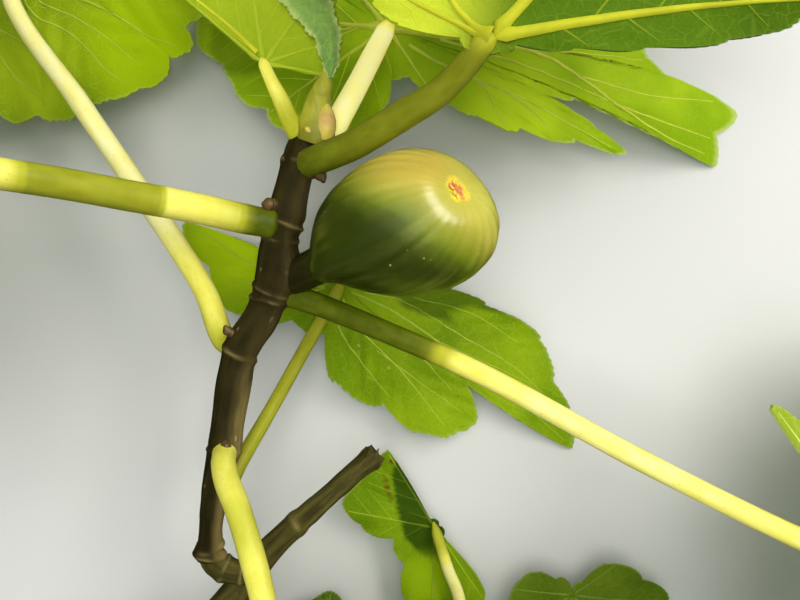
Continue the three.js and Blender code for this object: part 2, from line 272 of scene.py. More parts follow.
def tell(piece, name, values):
    layer = piece.data.attributes.new(name, 'FLOAT', 'POINT')
    layer.data.foreach_set('value', np.asarray(values, np.float32))


def uvMap(piece, name, flat):
    # one pair of values for each point of the mesh
    corners = np.empty(len(piece.data.loops), np.int64)
    piece.data.loops.foreach_get('vertex_index', corners)
    layer = piece.data.uv_layers.new(name=name)
    layer.data.foreach_set('uv', flat[corners].astype(np.float32).ravel())


def gridCells(rows, count, closed=True, start=0):
    # the first two points of each cell of a grid, row by row; the other two are one row on
    for row in range(rows - 1):
        for side in range(count if closed else count - 1):
            yield start + row * count + side, start + row * count + (side + 1) % count


def unitBall(segments, rings):
    deselectAll()
    bpy.ops.mesh.primitive_uv_sphere_add(
        segments=segments, ring_count=rings, radius=1, location=(0, 0, 0))
    return bpy.context.object, places(bpy.context.object) * mm


def joined(pieces, name):
    pick(pieces[0])
    for piece in pieces[1:]:
        piece.select_set(True)
    if len(pieces) > 1:
        bpy.ops.object.join()
    pieces[0].name = name
    pieces[0].data.name = name
    return pieces[0]


def settle(piece, node):
    pick(piece)
    bpy.ops.object.shade_smooth_by_angle(angle=math.radians(60))
    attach(piece, 'root')
    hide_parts(node)


# Limbs and stalks: a bevelled curve made a mesh, then carved by where a point is on it
def limbMesh(name, line, steps, sides, finishes):
    path = smoothLine(line, steps)
    bpy.ops.curve.primitive_bezier_curve_add(location=(0, 0, 0))
    piece = bpy.context.object
    curve = piece.data
    curve.splines.clear()
    spline = curve.splines.new('POLY')
    spline.points.add(len(path) - 1)
    for point, (x, y, z, radius) in zip(spline.points, path):
        point.co = (x * mm, y * mm, z * mm, 1)
        point.radius = radius
    curve.dimensions = '3D'
    curve.bevel_depth = mm
    curve.bevel_resolution = sides
    curve.use_fill_caps = True
    pick(piece)
    bpy.ops.object.convert(target='MESH')
    piece = bpy.context.object
    piece.name = name
    piece.data.name = name
    piece.data.materials.clear()
    for finish in finishes:
        piece.data.materials.append(finish.material)
    return piece, path


def whereOn(points, path):
    # distance along the limb in mm, angle round it from its upper side, direction out of it
    centres = path[:, :3]
    arc = lengthsAlong(centres)
    nearest = np.array([((centres - point) ** 2).sum(1).argmin() for point in points])
    offset = points - centres[nearest]
    tangent = unit(np.gradient(centres, axis=0))[nearest]
    ahead = (offset * tangent).sum(1)
    out = unit(offset - tangent * ahead[:, None])
    up = unit(np.array([0, 0, 1]) - tangent * tangent[:, 2:3])
    side = np.cross(tangent, up)
    around = np.arctan2((out * side).sum(1), (out * up).sum(1))
    return arc[nearest] + ahead, around, out, tangent, arc[-1]


def ridge(along, at, width):
    # a round bump, 1 at its middle
    return np.exp(-((along - at) / width) ** 2)


print('finishes')

leafLook = {
    'net': rgb(182, 204, 74),
    'rim': rgb(206, 220, 130),
    # the tint of the painted shadows that other parts cast on a leaf
    'paintedShade': rgb(62, 88, 12),
    # the net's meshes, as parts of 100 mm, and how far and how often its lines bend
    'netSize': 0.036,
    'threadSize': 0.013,
    'bend': 0.022,
    'bends': 22.0,
    'patchSize': 0.028,
    'grainSize': 0.0014,
    'relief': 0.00025,
}


def leafFinish(name, lit, deep, marks=(), paintedLight=(), net=0.25, through=0.3, rim=0.25, line=None):
    # marks, and brighter spots of painted light: tint, place and radius in mm, and for painted light
    # how soft it is
    finish = Finish(name, 0.55, {'Specular IOR Level': 0.04})
    plan = finish.uv('leafPlace')
    waves = {'Vector': plan, 'Scale': leafLook['bends'], 'Detail': 2.0}
    warp = finish.node('TexNoise', {}, waves, 'Color')
    bend = (leafLook['bend'], leafLook['bend'], 0)
    bent = finish.node('VectorMath', {'operation': 'MULTIPLY_ADD'}, {0: warp, 1: bend, 2: plan})
    grain = finish.cloud(leafLook['grainSize'], 2.0)
    lines = 1 - finish.cells(leafLook['netSize'], bent).between(0.0, 0.055)
    threads = 1 - finish.cells(leafLook['threadSize'], bent).between(0.0, 0.12)
    colour = finish.mix(finish.cloud(leafLook['patchSize'], 2.0).between(0.35, 0.7), deep, lit)
    colour = finish.mix(grain.between(0.3, 0.8) * 0.3, colour, deep)
    colour = finish.mix(lines * net + threads * net * 0.5, colour, line or leafLook['net'])
    colour = finish.mix(finish.number('rim').between(0.975, 1.0) * rim, colour, leafLook['rim'])
    # painted shade: where another part casts its shadow, the blade is painted darker
    colour = finish.mix(finish.number('shade'), colour, leafLook['paintedShade'])
    # painted light: brighter spots standing in for light the blade lacks
    for tint, point, radius, softness in paintedLight:
        colour = finish.mix(finish.near(point, radius, softness), colour, tint)
    for tint, point, radius in marks:
        ragged = finish.cloud(0.003, 2.0).between(0.35, 0.65, 0.4, 1.0)
        colour = finish.mix(finish.near(point, radius, 0.4) * ragged, colour, tint)
    finish.paint(colour)
    finish.bump(lines * 0.6 + threads * 0.25 + grain * 0.5, leafLook['relief'], 0.5)
    finish.letThrough(colour, through)
    return finish


def veinFinish(name, tint, deeper):
    finish = Finish(name, 0.5, {'Specular IOR Level': 0.06})
    colour = finish.mix(finish.cloud(0.006, 2.0).between(0.3, 0.75), tint, deeper)
    # painted shade: veins inside another part's shadow are painted darker too
    colour = finish.mix(finish.number('shade') * 0.75, colour, leafLook['paintedShade'])
    finish.paint(colour)
    finish.bump(finish.cloud(0.0012, 2.0), 0.0001, 0.4)
    finish.letThrough(colour, 0.25)
    return finish


stalkTints = {
    # painted light and shade: from full shade to full sun and the sun's highlight, each from one streak
    # to the next
    'shade': (rgb(70, 82, 6), rgb(96, 106, 15)),
    'half': (rgb(162, 164, 32), rgb(178, 178, 48)),
    'sun': (rgb(224, 216, 82), rgb(238, 232, 116)),
    'sunHighlight': (rgb(238, 230, 132), rgb(243, 238, 178)),
    # painted shade: a darker, warmer tint for the side turned from the light
    'under': rgb(188, 172, 60),
    'speck': rgb(120, 132, 30),
    # strength of the painted glow, which stands in for sunlight
    'glow': 0.45,
}


def stalkFinish():
    finish = Finish('stalkSkin', 0.46, {
        'Specular IOR Level': 0.12, 'Emission Strength': stalkTints['glow']})
    sun = finish.number('sun')
    streak = finish.cloud(0.003, 3.0, finish.stretched(finish.uv('limbPlace'), (0.35, 1.0, 1.0)))
    speck = finish.cells(0.0016, None, 'F1')
    dull, bright = streak.between(0.3, 0.7), streak.between(0.25, 0.75)
    # painted light: the sunniest parts take the painted highlight
    lit = finish.mix(sun.between(0.85, 1.0), finish.mix(bright, *stalkTints['sun']),
                     finish.mix(bright, *stalkTints['sunHighlight']))
    # painted shade on the side turned from the light
    under = finish.number('upside').between(-0.9, 0.1, 0.75, 0.0)
    lit = finish.mix(under, lit, stalkTints['under'])
    colour = finish.mix(sun.between(0.0, 0.45), finish.mix(dull, *stalkTints['shade']),
                        finish.mix(dull, *stalkTints['half']))
    colour = finish.mix(sun.between(0.45, 0.85), colour, lit)
    colour = finish.mix((1 - speck.between(0.08, 0.16)) * 0.25, colour, stalkTints['speck'])
    finish.paint(colour)
    # painted glow: stalks with a glow share emit their own colour, standing in for sunlight
    glow = finish.mix(finish.number('glow'), (0, 0, 0, 1), colour)
    finish.feed(finish.skin.inputs['Emission Color'], glow)
    finish.bump(streak * 0.6 + finish.cloud(0.0009, 2.0) * 0.3, 0.0002, 0.5)
    finish.letThrough(colour, 0.12)
    return finish


def barkFinish(name, dark, mid, tan, dots, dotShare, crack):
    # dots: the tint of the pores, and how much of it shows; crack: how deep the streaks are; tan: the
    # tint of the ring scars and of the painted highlight on the side facing the light
    finish = Finish(name, 0.7, {'Specular IOR Level': 0.05})
    place = finish.uv('limbPlace')
    streak = finish.cloud(0.0035, 4.0, finish.stretched(place, (0.18, 1.0, 1.0)), 0.62)
    blotch = finish.cloud(0.012, 3.0)
    fibre = finish.cloud(0.0009, 3.0, finish.stretched(place, (0.12, 1.0, 1.0)), 0.6)
    colour = finish.mix(streak.between(0.3, 0.72), dark, mid)
    colour = finish.mix(blotch.between(0.45, 0.75) * 0.5, colour, dark)
    # painted highlight: the tan tint on the side facing the light, streaked
    colour = finish.mix(finish.number('tan') * streak.between(0.25, 0.6, 0.35, 1.0), colour, tan)
    spots = finish.cells(0.0034, finish.stretched(place, (0.55, 1.0, 1.0)), 'F1')
    dot = (1 - spots.between(0.09, 0.17)) * finish.cloud(0.009, 1.0).between(0.45, 0.6)
    colour = finish.mix(dot * dotShare, colour, dots)
    colour = finish.mix(finish.number('scar') * 0.8, colour, tan)
    finish.paint(colour)
    finish.feed(finish.skin.inputs['Roughness'], fibre.between(0.2, 0.8, 0.5, 0.85))
    finish.bump(streak * crack + fibre * 0.5 + dot * 0.8, 0.0005, 0.8)
    return finish


def tornFinish():
    finish = Finish('tornWood', 0.85)
    fibre = finish.cloud(0.0012, 4.0, None, 0.65)
    colour = finish.mix(fibre.between(0.3, 0.7), rgb(52, 44, 16), rgb(128, 112, 52))
    colour = finish.mix(finish.cloud(0.004, 2.0).between(0.5, 0.7) * 0.6, colour, rgb(72, 74, 20))
    finish.paint(colour)
    finish.bump(fibre, 0.0008, 0.9)
    return finish


def budFinish(name, first, second, foot):
    finish = Finish(name, 0.5, {'Specular IOR Level': 0.35})
    grain = finish.cloud(0.0022, 3.0, finish.stretched(finish.place, (1.0, 0.35, 1.0)))
    colour = finish.mix(grain.between(0.3, 0.7), second, first)
    colour = finish.mix(finish.number('height').between(0.0, 0.35, 0.7, 0.0), colour, foot)
    finish.paint(colour)
    finish.bump(grain, 0.0003, 0.6)
    return finish


figTints = {
    # painted shade and light over the skin's own olive: from the shaded side, over olive, to the golden
    # side
    'tone': [(0.0, rgb(40, 50, 4)), (0.16, rgb(46, 57, 6)), (0.27, rgb(62, 74, 10)),
             (0.38, rgb(73, 87, 10)), (0.48, rgb(99, 112, 20)), (0.62, rgb(124, 130, 32)),
             (0.77, rgb(144, 142, 44)), (1.0, rgb(168, 160, 60))],
    'gold': rgb(174, 150, 60),
    # painted light for the top and upper edge of the fruit
    'crown': rgb(216, 192, 84),
    'streak': rgb(170, 170, 80),
    'pale': rgb(184, 182, 78),
    'ring': rgb(182, 174, 62),
    'yellow': rgb(220, 192, 56),
    'pink': rgb(196, 88, 78),
    'speck': rgb(172, 172, 84),
    'bark': rgb(34, 29, 9),
    # the eye: its tints lie a little below the skin, and its spots have a place to the right of
    # its middle and above it, and a radius
    'eyeDepth': 0.75,
    'eyeRadius': 3.1,
    'yellowSpots': [((-0.9, 1.8), 1.6), ((2.0, -0.7), 1.5), ((-0.8, -1.5), 1.3), ((0.9, 1.2), 1.2),
                    ((-2.0, 0.5), 1.2), ((-1.3, -0.9), 1.1), ((-0.2, -2.2), 1.0)],
    'pinkSpots': [((0.1, 0.0), 1.0), ((-0.9, 0.35), 0.85), ((-1.8, 0.6), 0.8), ((0.9, 0.7), 0.65),
                  ((0.9, -0.9), 0.7), ((1.4, -1.7), 0.6), ((-0.4, -0.9), 0.5)],
}


def figFinish(eye, outward):
    finish = Finish('figSkin', 0.4, {
        'Specular IOR Level': 0.1, 'Coat Weight': 0.66, 'Coat Roughness': 0.28})
    streak = finish.number('streak')
    soft = finish.cloud(0.007, 3.0)
    mottled = finish.cloud(0.0022, 3.0)
    speck = finish.cells(0.0034, None, 'F1')
    few = finish.cloud(0.006, 1.0).between(0.52, 0.62)
    # painted light and shade, softened by noise
    tone = finish.number('tone') + (soft - 0.5) * 0.12 + (mottled - 0.5) * 0.06
    colour = finish.node('ValToRGB', {'stops': figTints['tone']}, {'Fac': tone})
    colour = finish.mix(finish.number('gold') * 0.8, colour, figTints['gold'])
    # painted light on the top and upper edge
    colour = finish.mix(finish.number('crown') * 0.9, colour, figTints['crown'])
    lines = streak.between(0.4, 1.0) * soft.between(0.3, 0.7, 0.05, 0.24)
    colour = finish.mix(lines * tone.between(0.15, 0.7, 0.15, 1.0), colour, figTints['streak'])
    pale = finish.number('pale') * streak.between(0.0, 1.0, 0.5, 1.0)
    colour = finish.mix(pale, colour, figTints['pale'])
    colour = finish.mix((1 - speck.between(0.05, 0.1)) * few * 0.55, colour, figTints['speck'])
    right = unit(np.array([1, 0, 0]) - outward * outward[0])
    above = np.cross(outward, right)
    ragged = finish.cloud(0.0011, 2.0).between(0.25, 0.6)
    middleSpot = eye - figTints['eyeDepth'] * outward
    ring = finish.near(middleSpot, figTints['eyeRadius']) * 0.85
    colour = finish.mix(ring, colour, figTints['ring'])
    for kind in ('yellow', 'pink'):
        for (x, y), radius in figTints[kind + 'Spots']:
            spot = middleSpot + right * x + above * y
            colour = finish.mix(finish.near(spot, radius, 0.45) * ragged, colour, figTints[kind])
    colour = finish.mix(finish.number('neck'), colour, figTints['bark'])
    finish.paint(colour)
    finish.feed(finish.skin.inputs['Roughness'], soft.between(0.3, 0.7, 0.34, 0.46))
    relief = streak * 0.4 + mottled * 0.5 + finish.cloud(0.0006, 2.0) * 0.15 + soft * 0.25
    finish.bump(relief, 0.0003, 0.6)
    return finish


def plainTinted(name, first, second, size, roughness):
    finish = Finish(name, roughness)
    soft = finish.cloud(size, 3.0)
    finish.paint(finish.mix(soft.between(0.3, 0.7), first, second))
    finish.bump(soft, 0.0003, 0.6)
    return finish


stalkSkin = stalkFinish()
shootBark = barkFinish('shootBark', rgb(28, 25, 8), rgb(52, 45, 17), rgb(124, 108, 64),
                       rgb(160, 146, 112), 0.4, 0.9)
oldBark = barkFinish('oldBark', rgb(46, 42, 16), rgb(88, 82, 38), rgb(116, 104, 58),
                     rgb(132, 122, 84), 0.35, 1.4)
tornWood = tornFinish()
budSkin = budFinish('budSkin', rgb(98, 76, 34), rgb(56, 40, 15), rgb(112, 76, 46))
endBudSkin = budFinish('endBudSkin', rgb(174, 172, 52), rgb(146, 146, 34), rgb(96, 98, 20))
budPink = plainTinted('budPink', rgb(212, 196, 80), rgb(196, 156, 88), 0.004, 0.5)
rolledSkin = leafFinish('rolledSkin', rgb(140, 176, 86), rgb(88, 130, 70), through=0.12, rim=0.7)


print('woody limbs')

limbLines = {
    'old_limb': [
        (-104, -149, 5.3, 5.2), (-88, -131.5, 14, 5.0), (-66.7, -107.6, 28, 4.6),
        (-48.9, -86.4, 37, 4.4), (-37, -71, 40, 3.7), (-18.4, -53.8, 41, 2.8), (-4.9, -41.7, 41, 3.1),
    ],
    'spur': [
        (-38.6, -77, 40.6, 3.3), (-43, -77.1, 41.5, 3.4), (-47.6, -76.1, 42.6, 3.4),
        (-51.4, -73.4, 43.7, 3.5), (-52.9, -70, 44.4, 3.4),
    ],
    'shoot': [
        (-52.8, -71.3, 44.2, 3.6), (-52.6, -66.5, 45, 3.3), (-52.1, -60.7, 46, 3.1),
        (-50.2, -49.4, 47, 3.7), (-48, -40.9, 48, 4.2), (-45.8, -27.1, 49, 4.6),
        (-42.6, -13.8, 50, 4.6), (-36.5, -3, 51, 4.7), (-33.9, 4.3, 52, 5.0),
        (-32.3, 14.8, 53, 4.6), (-29.3, 25.3, 54, 4.6), (-26.7, 35.9, 55, 4.4), (-24.5, 41.7, 56, 4.0),
    ],
    'low_shoot': [
        (-74, -116, 23, 2.8), (-62, -124, 17, 2.8), (-40, -135, 10, 2.7),
        (-12, -142, 7, 2.6), (18, -147, 6.5, 2.5), (40, -149, 6.5, 2.2),
    ],
}
limbLook = {
    # wrinkle and ring heights in mm, rings as distances along the limb in mm; tan: how strong the
    # painted highlight is on the side facing the light
    'old_limb': {'wrinkle': 0.32, 'rings': [(38, 0.5, 1.6), (120, 0.4, 1.5)], 'tan': 0.25},
    'spur': {'wrinkle': 0.25, 'rings': [(1.5, 0.7, 1.2), (6.0, 0.35, 0.8), (11.5, 0.4, 1.0)],
             'tan': 0.3},
    'shoot': {
        'wrinkle': 0.2,
        'rings': [(0.8, 0.9, 1.0), (3.4, 0.5, 0.8), (31.0, 0.35, 0.6), (58.0, 0.4, 0.8),
                  (74.5, 0.6, 0.7), (77.5, 0.45, 0.6), (91.5, 0.4, 0.6), (96.0, 0.7, 0.7),
                  (112.0, 0.4, 0.8)],
        'tan': 0.95,
        # swollen places: where, how wide and how high
        'knobs': [((-27.6, 6.6, 53.5), 5.6, 4.4), ((-24.6, 37.5, 56), 4.0, 0.9),
                  ((-27, 22, 55), 3.2, 0.9), ((-45, -11, 50), 4.5, 0.8), ((-47, -39.5, 49), 4.0, 0.7),
                  ((-54, -69, 45), 3.4, 0.7)],
    },
    'low_shoot': {'wrinkle': 0.15, 'rings': [(24, 0.35, 0.8), (60, 0.4, 0.8), (96, 0.35, 0.8)],
                  'tan': 0.5},
}


barkLook = {
    'steps': 22,             # rings of points between two points of a limb's line
    'sides': 11,
    'lump': 0.22,            # height and size of the soft lumps, in mm
    'lumpSize': 7.0,
    'pitch': 4.0,            # the radius that the bark's pattern is drawn for
    # the broken end of the old limb: its swelling, length, how far it is pulled back, how
    # ragged it is, and the width and depth in m of each step into its wood
    'swelling': 0.9,
    'tornLength': 7,
    'tornBack': 2.6,
    'tornJag': 3.4,
    'tornSteps': ((0.0005, -0.0004), (0.0007, -0.0022), (0.0009, 0.0012)),
}


def tornCap(piece):
    # sink the wood of the broken end
    faces = piece.data.polygons
    cap = max(range(len(faces)),
              key=lambda at: (len(faces[at].vertices) > 8, sum(faces[at].center)))
    pick(piece)
    bpy.ops.object.mode_set(mode='EDIT')
    bpy.ops.mesh.select_mode(type='FACE')
    bpy.ops.mesh.select_all(action='DESELECT')
    bpy.ops.object.mode_set(mode='OBJECT')
    piece.data.polygons[cap].select = True
    piece.data.polygons[cap].material_index = 1
    bpy.ops.object.mode_set(mode='EDIT')
    for width, depth in barkLook['tornSteps']:
        bpy.ops.mesh.inset(thickness=width, depth=depth)
    bpy.ops.object.mode_set(mode='OBJECT')


def woodyLimb(name, finish):
    look = limbLook[name]
    piece, path = limbMesh(name + '_bark', limbLines[name], barkLook['steps'], barkLook['sides'],
                           [finish, tornWood])
    points = places(piece)
    along, around, out, tangent, length = whereOn(points, path)
    rise = look['wrinkle'] * roundNoise(around, 3.4, along * 0.16, 3, (2, 0, 1))
    rise += barkLook['lump'] * softNoise(points, barkLook['lumpSize'], 8)
    scar = np.zeros(len(points))
    patchy = ease(softNoise(points, 2.2, 5), -0.5, 0.4)
    for at, height, width in look['rings']:
        tilt = at + 0.7 * np.cos(around + at)
        rise += height * ridge(along, tilt, width)
        rise -= 0.3 * height * ridge(along, tilt + 2 * width, width)
        scar = np.maximum(scar, ridge(along, tilt, width * 0.55) * patchy)
    for at, radius, height in look.get('knobs', []):
        apart = np.linalg.norm(points - (np.array(at) - [*middle, 0]), axis=1)
        rise += height * ridge(apart, 0, radius)
    if name == 'old_limb':
        oneSide = 0.5 + 0.5 * np.cos(around - 2.2)
        rise += barkLook['swelling'] * ridge(along, length - 3, 4.5) * oneSide
        jag = sum(share * roundNoise(around, pitch, along * 0.05, 21)
                  for share, pitch in ((0.6, 2.2), (0.55, 6.5)))
        torn = ease(along, length - barkLook['tornLength'], length)
        back = torn * (barkLook['tornBack'] + barkLook['tornJag'] * jag)
        points = points - tangent * back[:, None]
    putPlaces(piece, points + out * rise[:, None])
    uvMap(piece, 'limbPlace', np.stack([along, np.abs(around) * barkLook['pitch']], 1) * mm)
    # painted highlight on the side facing the light, weaker on the shoot's part towards its tip
    lower = 1 - 0.8 * ease(along, 34, 66) if name == 'shoot' else 1
    tell(piece, 'tan', look['tan'] * lower * ease(out @ np.array([0.95, -0.1, 0.15]), 0.3, 1.05))
    tell(piece, 'scar', scar)
    if name == 'old_limb':
        tornCap(piece)
    settle(piece, name)


woodyLimb('old_limb', oldBark)
woodyLimb('spur', oldBark)
woodyLimb('shoot', shootBark)
woodyLimb('low_shoot', shootBark)


# Leaves, in the order of their nodes. Lengths are in mm, directions in degrees in plan.
# at: the junction, where the stalk meets the veins. rise, tilt: slopes along and across the midrib.
# droop: how far the blade sinks 100 mm out. fold: how far each half is folded up.
# edge: direction and reach of the margin from the junction. veins: directions of the main veins;
# those also under plain are drawn as the lines under drawn instead, each with its root's
# radius and its points' directions and distances. spacing, lean: of the side veins. vein, side:
# how thick the main and the side veins are. lift: how far the veins stand off at the junction.
# sun: how brightly lit the stalk is along its length, painted light and shade. glow: how strongly the
# stalk shines with a painted glow that stands in for sunlight. shaded: share, softness and outline, in
# the part's frame, of a painted shadow that another leaf, the fruit or a limb casts.
def fullEdge(length, midrib):
    shape = [(-178, 0.05), (-152, 0.2), (-128, 0.34), (-102, 0.5), (-76, 0.38), (-48, 0.86), (-25, 0.5),
             (0, 1), (25, 0.5), (48, 0.86), (76, 0.38), (102, 0.5), (128, 0.34), (152, 0.2)]
    return [(midrib + turn, part * length) for turn, part in shape]


